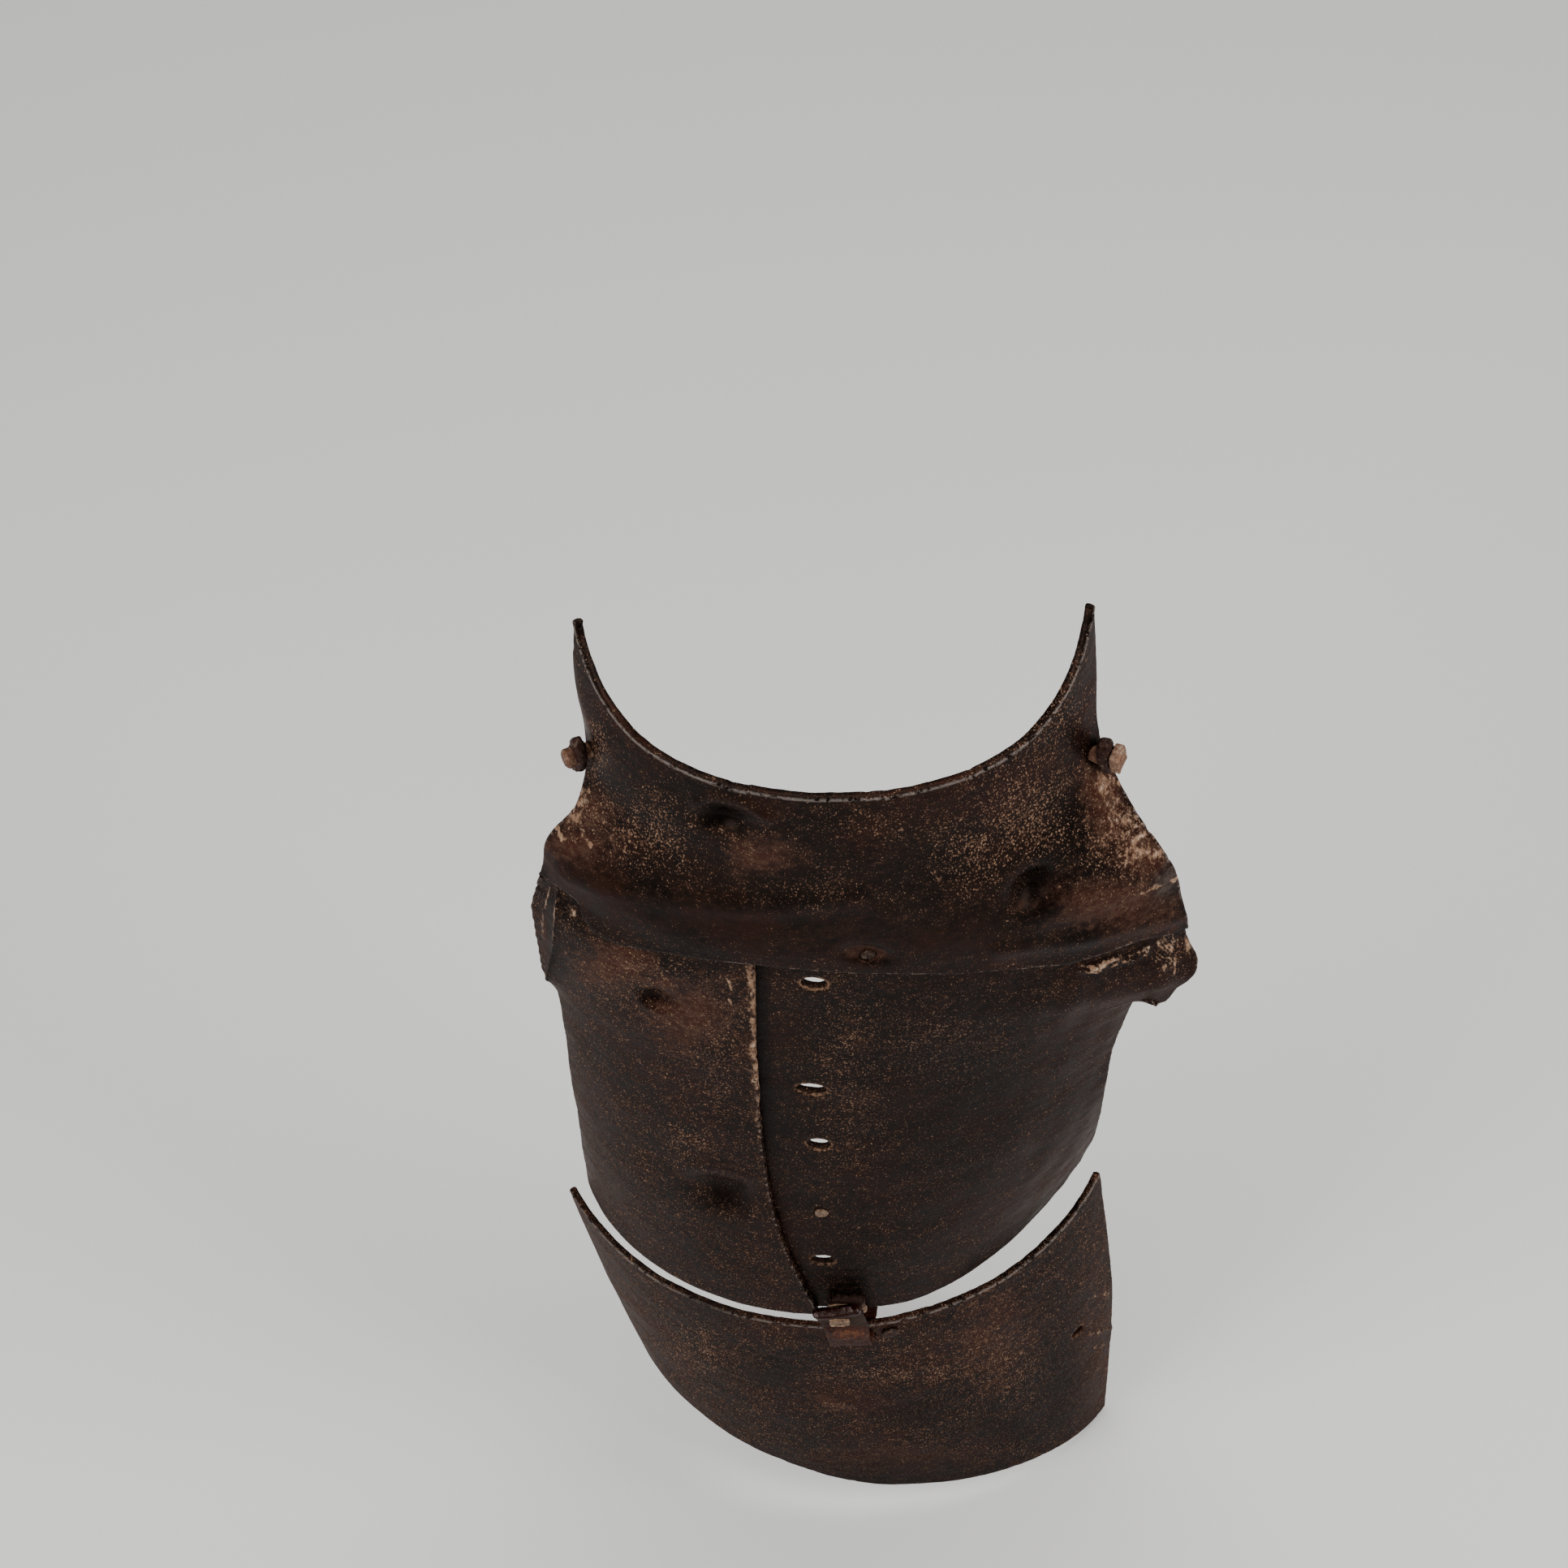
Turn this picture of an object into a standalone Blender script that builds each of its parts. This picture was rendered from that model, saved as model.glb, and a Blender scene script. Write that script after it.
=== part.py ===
"""Iron breastplate of bent plough steel, with the apron plate that hangs from its lower edge.

A neck plate laps over two lower plates, which lap over each other at a seam left of the middle.
The plates are worked out from one surface, the skin: the neck plate's outer face, carried on
down to the waist. Each plate is a patch of it, pushed inwards by the layers that lie over it.

+Z is up and the front faces -Y. The origin is midway between the two shoulder bolts.
"""

import math
from collections import namedtuple

import bmesh
import bpy
from mathutils import Matrix, Vector

MM = 0.001

# Walls and clearances
PLATE = 5.0 * MM
APRON_PLATE = 4.5 * MM
HOOK_STRAP = 6.5 * MM
GAP = 0.3 * MM
RIM_BEVEL = 1.2 * MM
FINE_BEVEL = 0.5 * MM

# The breastplate, over its outer face
NECK_HALF_WIDTH = 122 * MM
WING_HALF_WIDTH = 175 * MM
WAIST_HALF_WIDTH = 153 * MM
COLLAR_HEIGHT = 158 * MM
LOWER_HEIGHT = 382 * MM
TIP_RISE = 60 * MM
NECK_DEPTH = 68 * MM
WAIST_DEPTH = 98 * MM
BELLY_REACH = 24 * MM
SEAM_OFFSET = 49 * MM
COLLAR_LAP = 33 * MM
SEAM_LAP = 28 * MM

# The apron, over its outer face
APRON_HALF_WIDTH = 160 * MM
APRON_HEIGHT = 246 * MM
APRON_DEPTH = 98 * MM
APRON_LEAN = 30 * MM
APRON_GAP = 18 * MM
APRON_AHEAD = 3.6 * MM
APRON_HOLE_RADIUS = 5.0 * MM

# The hook that carries it, over the strap's middle line
HOOK_WIDTH = 25 * MM
HOOK_SHIFT = 13 * MM
HOOK_LEFT = 1.0 * MM
HOOK_GRIP = 19 * MM
HOOK_TILT = 3.0 * MM
HOOK_KICK = 3.7 * MM
HOOK_DROP = 13.0 * MM
HOOK_TUCK = 6.0 * MM
HOOK_KNEE = 4.5 * MM
SLOT_X = 9.0 * MM
SLOT_HALF_WIDTH = 15.0 * MM
SLOT_RISE = 6.3 * MM
SLOT_FALL = 9.5 * MM

# Fasteners
SHOULDER_BOLT_RADIUS = 4.2 * MM
SHOULDER_BOLT_HEAD_RADIUS = 9.0 * MM
SHOULDER_BOLT_HEAD = 4.0 * MM
SHOULDER_STANDOFF = 3.0 * MM
SHOULDER_BOLT_END = 5.0 * MM
NUT_BOLT_END = 1.5 * MM
WASHER_THICKNESS = 5.5 * MM
WASHER_HALF_LENGTH = 11.0 * MM
WASHER_HALF_WIDTH = 7.5 * MM
NUT_HALF_SIDE = 6.5 * MM
NUT_THICKNESS = 6.0 * MM
RIVET_RADIUS = 4.0 * MM
RIVET_HEAD_RADIUS = 7.0 * MM
RIVET_HEAD = 2.5 * MM
RIVET_FLUSH = 0.4 * MM
HEAD_CROWN = 0.8
HOOK_RIVET_HALF_WIDTH = 6.0 * MM
HOOK_RIVET_HALF_HEIGHT = 3.8 * MM
HOOK_RIVET_HALF_SHANK = 3.4 * MM
HOOK_RIVET_HALF_HEAD = 5.0 * MM
HOOK_RIVET_PROUD = 0.8 * MM
HOOK_RIVET_X = 0.5 * MM
HOOK_RIVET_RISE = 12.0 * MM
APRON_BOLT_RADIUS = 3.5 * MM
APRON_BOLT_HEAD_RADIUS = 5.2 * MM
APRON_BOLT_PROUD = 2.5 * MM
PLATE_HOLE_RADIUS = 6.2 * MM
HOLE_REACH = 30 * MM

# How finely the plates are divided
LEFT_COLUMNS = 10
SEAM_COLUMNS = 3
RIGHT_COLUMNS = 16
NECK_ROWS = 11
LAP_ROWS = 2
LOWER_ROWS = 21
APRON_COLUMNS = 28
APRON_ROWS = 12
ROUND_SIDES = 16

# Tables. A level is 0 at the neck rim, 1 at the neck plate's lower edge and 2 at the waist edge.
# forward: share of BELLY_REACH that the middle stands ahead of the rim.
# seam: share of SEAM_OFFSET that the seam lies left of the middle.
Middle = namedtuple("Middle", "level forward seam")
MIDDLE = (
    Middle(0.00, 0.00, 1.00),
    Middle(0.45, 0.20, 1.00),
    Middle(0.80, 0.46, 1.00),
    Middle(1.00, 0.48, 1.00),
    Middle(1.30, 0.58, 0.98),
    Middle(1.60, 0.74, 0.88),
    Middle(1.80, 0.92, 0.66),
    Middle(2.00, 1.00, 0.27),
)

# flare: share of the way from the neck's, or below level 1 the waist's, half width to the wing's.
# deep: share of NECK_DEPTH, or below level 1 of WAIST_DEPTH, that the edge lies behind the middle.
# lift: share of TIP_RISE that the edge lies above the middle. late: how late the lift comes, as
# a power of the way along the arc. wrap: degrees that the arc turns.
Edge = namedtuple("Edge", "level flare deep lift late wrap")
LEFT_EDGE = (
    Edge(0.00, 0.16, 1.02, 1.00, 3.6, 80),
    Edge(0.22, 0.18, 1.01, 0.88, 3.2, 80),
    Edge(0.45, 0.12, 0.98, 0.60, 2.6, 78),
    Edge(0.62, 0.24, 0.88, 0.42, 2.0, 74),
    Edge(0.80, 0.56, 0.92, 0.32, 1.5, 72),
    Edge(1.00, 0.66, 0.93, 0.30, 1.3, 70),
    Edge(1.05, 0.60, 0.64, 0.24, 1.3, 69),
    Edge(1.15, 0.45, 0.62, 0.10, 1.4, 68),
    Edge(1.30, 0.23, 0.66, 0.00, 2.0, 68),
    Edge(1.60, 0.12, 0.78, 0.00, 2.0, 72),
    Edge(2.00, 0.00, 1.00, 0.00, 2.0, 76),
)
RIGHT_EDGE = (
    Edge(0.00, -0.08, 0.98, 1.00, 3.6, 80),
    Edge(0.22, 0.00, 0.98, 0.85, 3.2, 80),
    Edge(0.45, 0.08, 0.86, 0.60, 2.6, 76),
    Edge(0.62, 0.43, 0.70, 0.30, 2.2, 62),
    Edge(0.80, 0.88, 0.61, 0.00, 1.8, 50),
    Edge(1.00, 1.14, 0.57, -0.52, 1.6, 45),
    Edge(1.08, 1.72, 0.37, -0.49, 1.6, 45),
    Edge(1.13, 1.50, 0.34, -0.44, 1.8, 46),
    Edge(1.19, 0.62, 0.34, -0.32, 2.0, 47),
    Edge(1.35, 0.14, 0.43, -0.14, 2.0, 50),
    Edge(1.60, 0.04, 0.54, 0.00, 2.0, 50),
    Edge(1.80, 0.18, 0.77, 0.00, 2.0, 42),
    Edge(2.00, 0.08, 1.00, 0.00, 2.0, 36),
)

# across and level place a dent on the skin: across is -1 at the left edge, 0 at the seam, 1 at
# the right edge. radius and depth in mm, and tall is the height of a dent over its width.
Dent = namedtuple("Dent", "across level radius depth tall")
DENTS = (
    Dent(-0.10, 0.18, 16, 4.5, 0.9),
    Dent(0.635, 0.67, 13, 6.0, 1.2),
    Dent(-0.36, 1.13, 13, 4.0, 0.9),
    Dent(-0.19, 1.65, 20, 6.0, 1.1),
)

# The apron's rows, by share of its height. middle: share of APRON_LEAN. left and right: shares of
# APRON_HALF_WIDTH. deep_left and deep_right: shares of APRON_DEPTH. rise_left and rise_right:
# shares of APRON_HEIGHT that the ends lie above the middle. late: how late the rise comes, as a
# power of the way along the arc.
APRON_COLUMN_NAMES = "level middle left right deep_left deep_right rise_left rise_right late"
ApronRow = namedtuple("ApronRow", APRON_COLUMN_NAMES)
APRON_TABLE = (
    ApronRow(0.0, 0.15, 1.02, 0.99, 1.02, 0.88, 0.00, 0.09, 1.60),
    ApronRow(0.5, 0.65, 1.00, 1.00, 0.94, 0.78, 0.09, 0.01, 1.35),
    ApronRow(1.0, 1.30, 0.98, 0.91, 0.79, 0.64, 0.235, -0.118, 1.10),
)
APRON_WRAP = 68

# Holes and fasteners, by their place on a plate
Spot = namedtuple("Spot", "name across level")
RIGHT_PLATE_HOLES = (
    Spot("upper_hole", 0.12, 1.04),
    Spot("middle_hole", 0.117, 1.33),
    Spot("lower_hole", 0.127, 1.485),
    Spot("bottom_hole", 0.075, 1.838),
)
BODY_RIVET = Spot("body_rivet", 0.11, 1.69)
CENTRE_BOLT = Spot("centre_bolt", 0.235, 0.85)
NECK_RIVET = Spot("neck_rivet", -0.62, 0.91)
SEAM_RIVETS = (
    Spot("seam_rivet_upper", -0.12, 1.25),
    Spot("seam_rivet_lower", -0.12, 1.80),
)
SHOULDER_LEFT = Spot("left", -0.93, 0.43)
SHOULDER_RIGHT = Spot("right", 0.94, 0.44)
APRON_HOLE = Spot("apron_hole", 0.758, 0.502)
APRON_BOLT = Spot("apron_bolt", 0.127, 0.054)

# The pad between the hook and the plate, as a patch of the skin
PAD_LEFT, PAD_RIGHT = 0.035, 0.155
PAD_TOP, PAD_FOOT = 1.948, 1.992
HOOK_SPAN = 0.18
HOOK_SPAN_ON_APRON = 0.125

LAYER = PLATE + GAP
Bend = namedtuple("Bend", "y z shift")
DENT_GROWTH = 0.06
TURNS = [math.tau * at / ROUND_SIDES for at in range(ROUND_SIDES)]
ROUND = [(math.cos(turn), math.sin(turn)) for turn in TURNS]
SQUARE = ((1, 1), (-1, 1), (-1, -1), (1, -1))
IRON = (0.060, 0.045, 0.038)
RUST = (0.160, 0.060, 0.035)


def spread(start, end, count):
    return [start + (end - start) * step / count for step in range(count + 1)]


def table_value(table, level, column):
    """A column of a table at a level, on a smooth curve through its rows."""
    rows = [row for row in table if row.level <= level]
    at = min(max(len(rows) - 1, 0), len(table) - 2)
    low, high = table[at], table[at + 1]
    before, after = table[max(at - 1, 0)], table[min(at + 2, len(table) - 1)]
    span = high.level - low.level
    share = (level - low.level) / span
    start, end = getattr(low, column), getattr(high, column)
    slope_in = (end - getattr(before, column)) / (high.level - before.level) * span
    slope_out = (getattr(after, column) - start) / (after.level - low.level) * span
    square, cube = share * share, share * share * share
    return ((2 * cube - 3 * square + 1) * start + (cube - 2 * square + share) * slope_in
            + (3 * square - 2 * cube) * end + (cube - square) * slope_out)


def drop_at(level):
    """How far a level lies below the rim, on the middle line."""
    if level <= 1:
        return level * COLLAR_HEIGHT
    return COLLAR_HEIGHT + (level - 1) * LOWER_HEIGHT


def edge_rows(edge):
    """The edge's own rows as real sizes, so that they join smoothly across level 1."""
    Size = namedtuple("Size", "level width depth lift late wrap")
    sizes = []
    for row in edge:
        narrow, depth = (NECK_HALF_WIDTH, NECK_DEPTH) if row.level <= 1 else (WAIST_HALF_WIDTH, WAIST_DEPTH)
        width = narrow + (WING_HALF_WIDTH - narrow) * row.flare
        sizes.append(Size(row.level, width, depth * row.deep, TIP_RISE * row.lift, row.late,
                          math.radians(row.wrap)))
    return tuple(sizes)


LEFT_SIZES = edge_rows(LEFT_EDGE)
RIGHT_SIZES = edge_rows(RIGHT_EDGE)


def seam_turn(level):
    """The seam's place along the arc, as a share of the left arc."""
    wrap = table_value(LEFT_SIZES, level, "wrap")
    width = table_value(LEFT_SIZES, level, "width")
    seam = SEAM_OFFSET * table_value(MIDDLE, level, "seam")
    return -math.asin(min(seam / width * math.sin(wrap), 1)) / wrap


def bare_skin(across, level):
    """A point of the skin before its dents, from the middle of the neck rim."""
    seam = seam_turn(level)
    turn = seam + across * (1 + seam) if across < 0 else seam + across * (1 - seam)
    sizes = LEFT_SIZES if turn < 0 else RIGHT_SIZES
    wrap = table_value(sizes, level, "wrap")
    angle = abs(turn) * wrap
    x = table_value(sizes, level, "width") * math.sin(angle) / math.sin(wrap)
    back = table_value(sizes, level, "depth") * (1 - math.cos(angle)) / (1 - math.cos(wrap))
    lift = table_value(sizes, level, "lift") * abs(turn) ** table_value(sizes, level, "late")
    forward = BELLY_REACH * table_value(MIDDLE, level, "forward")
    return Vector((math.copysign(x, turn), back - forward, lift - drop_at(level)))


def surface_normal(surface, across, level):
    """The outward normal of a surface, from its slopes along both its directions."""
    step = 0.004
    sideways = surface(across + step, level) - surface(across - step, level)
    down = surface(across, level + step) - surface(across, level - step)
    return down.cross(sideways).normalized()


def dented_skin(across, level, depth):
    """A point a given depth under the skin, with the dents pushed in. They grow with the depth."""
    point = bare_skin(across, level)
    normal = surface_normal(bare_skin, across, level)
    push = 0
    for dent in DENTS:
        away = point - bare_skin(dent.across, dent.level)
        flat = math.hypot(away.x, away.y)
        reach = math.hypot(flat, away.z / dent.tall) / (dent.radius * MM)
        push += dent.depth * MM * math.exp(-reach * reach * 2)
    return point - normal * (depth + push * (1 + DENT_GROWTH * depth / LAYER))


ORIGIN = (bare_skin(SHOULDER_LEFT.across, SHOULDER_LEFT.level)
          + bare_skin(SHOULDER_RIGHT.across, SHOULDER_RIGHT.level)) / 2


def on_skin(across, level, depth=0.0):
    """A point a given depth under the skin, in the object's own frame."""
    return dented_skin(across, level, depth) - ORIGIN


def normal_at(spot):
    return surface_normal(bare_skin, spot.across, spot.level)


def face_reach(face, spot, radius, side):
    """How far a face stands out from the skin's point at a spot, at most, within a radius of it.

    side is 1 for the way out and -1 for the way in.
    """
    centre, normal, step = on_skin(spot.across, spot.level), normal_at(spot), 0.01
    wide = (on_skin(spot.across + step, spot.level) - centre).length / step
    tall = (on_skin(spot.across, spot.level + step) - centre).length / step
    farthest = side * (face(spot.across, spot.level) - centre).dot(normal)
    for x, y in ROUND:
        for reach in spread(0, radius, 4):
            point = face(spot.across + x * reach / wide, spot.level + y * reach / tall)
            farthest = max(farthest, side * (point - centre).dot(normal))
    return farthest


def ease(share):
    share = min(max(share, 0), 1)
    return share * share * (3 - 2 * share)


def right_depth(across):
    """The right plate dips under the left one at the seam and comes up level with it beside it."""
    return LAYER * (2 - ease(across / 0.35))


def on_left_plate(across, level):
    return on_skin(across, level, LAYER)


def on_right_plate(across, level):
    return on_skin(across, level, right_depth(across))


def neck_back(across, level):
    return on_skin(across, level, PLATE)


def left_back(across, level):
    return on_skin(across, level, LAYER + PLATE)


def right_back(across, level):
    return on_skin(across, level, right_depth(across) + PLATE)


def on_pad(across, level):
    return on_skin(across, level, right_depth(across) - PLATE - GAP)


def apron_point(across, level):
    """A point of the apron's outer face. across runs from -1 to 1, level from 0 to 1."""
    def size(column):
        return table_value(APRON_TABLE, level, column)
    side = "left" if across < 0 else "right"
    wrap = math.radians(APRON_WRAP)
    angle = abs(across) * wrap
    x = APRON_HALF_WIDTH * size(side) * math.sin(angle) / math.sin(wrap)
    back = APRON_DEPTH * size("deep_" + side) * (1 - math.cos(angle)) / (1 - math.cos(wrap))
    rise = APRON_HEIGHT * size("rise_" + side) * abs(across) ** size("late")
    middle = APRON_LEAN * size("middle")
    return Vector((middle + math.copysign(x, across), back, rise - level * APRON_HEIGHT))


WAIST_Z = on_skin(PAD_RIGHT, 2).z
WAIST_FACE_Y = min(on_right_plate(across, 2).y for across in spread(0, HOOK_SPAN, 8))
WAIST_BACK_Y = max(right_back(across, 2).y for across in spread(PAD_LEFT, HOOK_SPAN, 8))
APRON_FACE_Y = WAIST_FACE_Y - APRON_AHEAD
APRON_SAG = apron_point(HOOK_SPAN_ON_APRON, 0).y
RIM_Z = WAIST_Z - APRON_GAP
HINGE_Y = APRON_FACE_Y + APRON_PLATE / 2
HINGE_Z = RIM_Z - HOOK_DROP


def on_apron(across, level):
    """A point of the apron's outer face, in the object's own frame."""
    return apron_point(across, level) + Vector((0, APRON_FACE_Y, RIM_Z))


def make_material(name, colour, roughness, metallic):
    material = bpy.data.materials.new(name)
    material.use_nodes = True
    shader = material.node_tree.nodes["Principled BSDF"]
    shader.inputs["Base Color"].default_value = (*colour, 1)
    shader.inputs["Roughness"].default_value = roughness
    shader.inputs["Metallic"].default_value = metallic
    material.diffuse_color = (*colour, 1)
    return material


def add_object(name, mesh, collection, material=None):
    thing = bpy.data.objects.new(name, mesh)
    collection.objects.link(thing)
    if material:
        mesh.materials.append(material)
    return thing


def add_sheet(name, columns, rows, place, collection, material):
    """An open sheet: a grid whose crossings are moved to place(column, row)."""
    mesh = bpy.data.meshes.new(name)
    sheet = bmesh.new()
    across, down = len(columns) - 1, len(rows) - 1
    bmesh.ops.create_grid(sheet, x_segments=across, y_segments=down, size=1)
    for vertex in sheet.verts:
        column = round((vertex.co.x + 1) / 2 * across)
        row = round((1 - vertex.co.y) / 2 * down)
        vertex.co = place(columns[column], rows[row])
    sheet.to_mesh(mesh)
    sheet.free()
    mesh.shade_smooth()
    return add_object(name, mesh, collection, material)


def thicken(thing, thickness, offset=-1):
    """Gives a sheet its wall. An offset of -1 puts it behind the sheet, 0 half on each side."""
    wall = thing.modifiers.new("Wall", "SOLIDIFY")
    wall.thickness = thickness
    wall.offset = offset
    wall.use_even_offset = True
    soften(thing, RIM_BEVEL)


def soften(thing, width):
    edge = thing.modifiers.new("Edges", "BEVEL")
    edge.width = width
    edge.segments = 1
    edge.limit_method = "ANGLE"
    edge.angle_limit = math.radians(50)


def frame_along(point, direction):
    """A matrix that puts a thing's Z axis along a direction, with its Y axis as upright as it can be."""
    turn = direction.to_track_quat("Z", "Y").to_matrix().to_4x4()
    return Matrix.Translation(point) @ turn


def add_solid(name, outline, profile, matrix, collection, material=None):
    """A solid with one outline all along it, bottom to top.

    Each row of the profile holds its half width, half length and height, and how much its height
    grows with the length.
    """
    mesh = bpy.data.meshes.new(name)
    solid = bmesh.new()
    rings = []
    for wide, long, height, lean in profile:
        rings.append([solid.verts.new((x * wide, y * long, height + y * long * lean)) for x, y in outline])
    for low, high in zip(rings, rings[1:]):
        for at in range(len(outline)):
            solid.faces.new((low[at - 1], low[at], high[at], high[at - 1]))
    solid.faces.new(rings[0][::-1])
    solid.faces.new(rings[-1])
    solid.to_mesh(mesh)
    solid.free()
    thing = add_object(name, mesh, collection, material)
    thing.matrix_world = matrix
    return thing


def turned(*profile):
    """Rows of a round solid's profile, from pairs of a radius and a height."""
    return [(radius, radius, height, 0) for radius, height in profile]


def add_cutter(name, outline, profile, matrix, collection, targets):
    """A solid that is taken out of each of the targets."""
    cutter = add_solid("cut_" + name, outline, profile, matrix, collection)
    cutter.hide_render = True
    cutter.display_type = "WIRE"
    for target in targets:
        boolean = target.modifiers.new("Cut " + name, "BOOLEAN")
        boolean.operation = "DIFFERENCE"
        boolean.solver = "EXACT"
        boolean.object = cutter


def cut_hole(name, radius, matrix, collection, targets):
    add_cutter(name, ROUND, turned((radius, -HOLE_REACH), (radius, HOLE_REACH)), matrix, collection, targets)


def add_plates(parts, iron):
    """The neck plate and the two lower plates. They share their grid lines where they lap."""
    lap_level = (COLLAR_HEIGHT - COLLAR_LAP) / COLLAR_HEIGHT
    lap = spread(lap_level, 1, LAP_ROWS)
    neck_levels = spread(0, lap_level, NECK_ROWS) + lap[1:]
    lower_levels = lap + spread(1, 2, LOWER_ROWS)[1:]
    lap_share = SEAM_LAP / (WAIST_HALF_WIDTH - SEAM_OFFSET)
    seam_columns = spread(-lap_share, 0, SEAM_COLUMNS)
    left_columns = spread(-1, -lap_share, LEFT_COLUMNS) + seam_columns[1:]
    right_columns = spread(0, 1, RIGHT_COLUMNS)[1:]
    neck = add_sheet("neck_plate", left_columns + right_columns, neck_levels, on_skin, parts, iron)
    left = add_sheet("left_plate", left_columns, lower_levels, on_left_plate, parts, iron)
    right = add_sheet("right_plate", seam_columns + right_columns, lower_levels, on_right_plate, parts, iron)
    for plate in (neck, left, right):
        thicken(plate, PLATE)
    return neck, left, right


def add_rivet(spot, plates, front, back, rust, parts, cutters):
    """A rivet through plates, flush with their front face and with a flat head behind their back face."""
    matrix = frame_along(on_skin(spot.across, spot.level), normal_at(spot))
    seat = -face_reach(back, spot, RIVET_HEAD_RADIUS, -1) - GAP
    crown, end = RIVET_HEAD_RADIUS * HEAD_CROWN, face_reach(front, spot, RIVET_RADIUS, 1) + RIVET_FLUSH
    profile = turned((crown, seat - RIVET_HEAD), (RIVET_HEAD_RADIUS, seat - RIVET_HEAD / 2),
                     (RIVET_HEAD_RADIUS, seat), (RIVET_RADIUS, seat), (RIVET_RADIUS, end - RIVET_FLUSH),
                     (RIVET_RADIUS * HEAD_CROWN, end))
    add_solid(spot.name, ROUND, profile, matrix, parts, rust)
    cut_hole(spot.name, RIVET_RADIUS + GAP, matrix, cutters, plates)


def add_plate_rivets(neck, left, right, rust, parts, cutters):
    """The rivets that hold the three plates together, and the open holes of the right plate."""
    add_rivet(CENTRE_BOLT, (neck, right), on_skin, right_back, rust, parts, cutters)
    add_rivet(NECK_RIVET, (neck, left), on_skin, left_back, rust, parts, cutters)
    for spot in SEAM_RIVETS:
        add_rivet(spot, (left, right), on_left_plate, right_back, rust, parts, cutters)
    add_rivet(BODY_RIVET, (right,), on_right_plate, right_back, rust, parts, cutters)
    for spot in RIGHT_PLATE_HOLES:
        matrix = frame_along(on_skin(spot.across, spot.level), normal_at(spot))
        cut_hole(spot.name, PLATE_HOLE_RADIUS, matrix, cutters, (right,))


def add_shoulder_bolt(spot, neck, with_nut, rust, parts, cutters):
    """A bolt through the collar, with an oval washer that stands off it to clamp a strap."""
    matrix = frame_along(on_skin(spot.across, spot.level), normal_at(spot))
    head, shank = SHOULDER_BOLT_HEAD_RADIUS, SHOULDER_BOLT_RADIUS
    seat = -face_reach(neck_back, spot, head, -1) - GAP
    low = face_reach(on_skin, spot, WASHER_HALF_LENGTH, 1) + SHOULDER_STANDOFF
    high = low + WASHER_THICKNESS
    end = high + SHOULDER_BOLT_END
    oval = [(WASHER_HALF_WIDTH, WASHER_HALF_LENGTH, height, 0) for height in (low, high)]
    clamped = [neck, add_solid("shoulder_washer_" + spot.name, ROUND, oval, matrix, parts, rust)]
    if with_nut:
        nut_top = high + GAP + NUT_THICKNESS
        end = nut_top + NUT_BOLT_END
        square = [(NUT_HALF_SIDE, NUT_HALF_SIDE, height, 0) for height in (high + GAP, nut_top)]
        clamped.append(add_solid("shoulder_nut_" + spot.name, SQUARE, square, matrix, parts, rust))
    profile = turned((head * HEAD_CROWN, seat - SHOULDER_BOLT_HEAD), (head, seat - SHOULDER_BOLT_HEAD / 2),
                     (head, seat), (shank, seat), (shank, end - RIM_BEVEL), (shank * HEAD_CROWN, end))
    add_solid("shoulder_bolt_" + spot.name, ROUND, profile, matrix, parts, rust)
    cut_hole("shoulder_" + spot.name, shank + GAP, matrix, cutters, clamped)
    for thing in clamped[1:]:
        soften(thing, FINE_BEVEL)


def hook_bends():
    """The strap's bends, from its outer tip round the bottom to the tip tucked behind the plate.

    shift is the share of HOOK_SHIFT that the strap has moved to the right.
    """
    half = HOOK_STRAP / 2
    tip = WAIST_FACE_Y - GAP - PLATE - GAP - half
    front = tip - HOOK_KICK
    rise = APRON_FACE_Y + APRON_PLATE + APRON_SAG + GAP + half
    back = WAIST_BACK_Y + GAP + half
    return (
        Bend(tip, WAIST_Z + HOOK_GRIP, 0.00),
        Bend(front, WAIST_Z + HOOK_KNEE, 0.40),
        Bend(front + HOOK_KNEE / 2, HINGE_Z + 2.5 * HOOK_KNEE, 0.60),
        Bend(front + HOOK_KNEE, HINGE_Z + 0.7 * HOOK_KNEE, 0.70),
        Bend(APRON_FACE_Y - 0.1 * HOOK_KNEE, HINGE_Z, 0.80),
        Bend(rise - 1.2 * HOOK_KNEE, HINGE_Z, 0.88),
        Bend(rise - 0.2 * HOOK_KNEE, HINGE_Z + 1.1 * HOOK_KNEE, 0.93),
        Bend(rise, RIM_Z, 0.96),
        Bend(back, WAIST_Z - GAP, 1.00),
        Bend(back, WAIST_Z + HOOK_TUCK, 1.00),
    )


def on_hook(side, step):
    """A point of the strap's middle sheet. The outer tip is cut on a slant."""
    bends = hook_bends()
    bend = bends[step]
    slant = HOOK_TILT * side if step == 0 else 0
    x = HOOK_SHIFT * bend.shift - HOOK_LEFT + side * HOOK_WIDTH / 2
    return Vector((x, bend.y, bend.z + slant))


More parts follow.
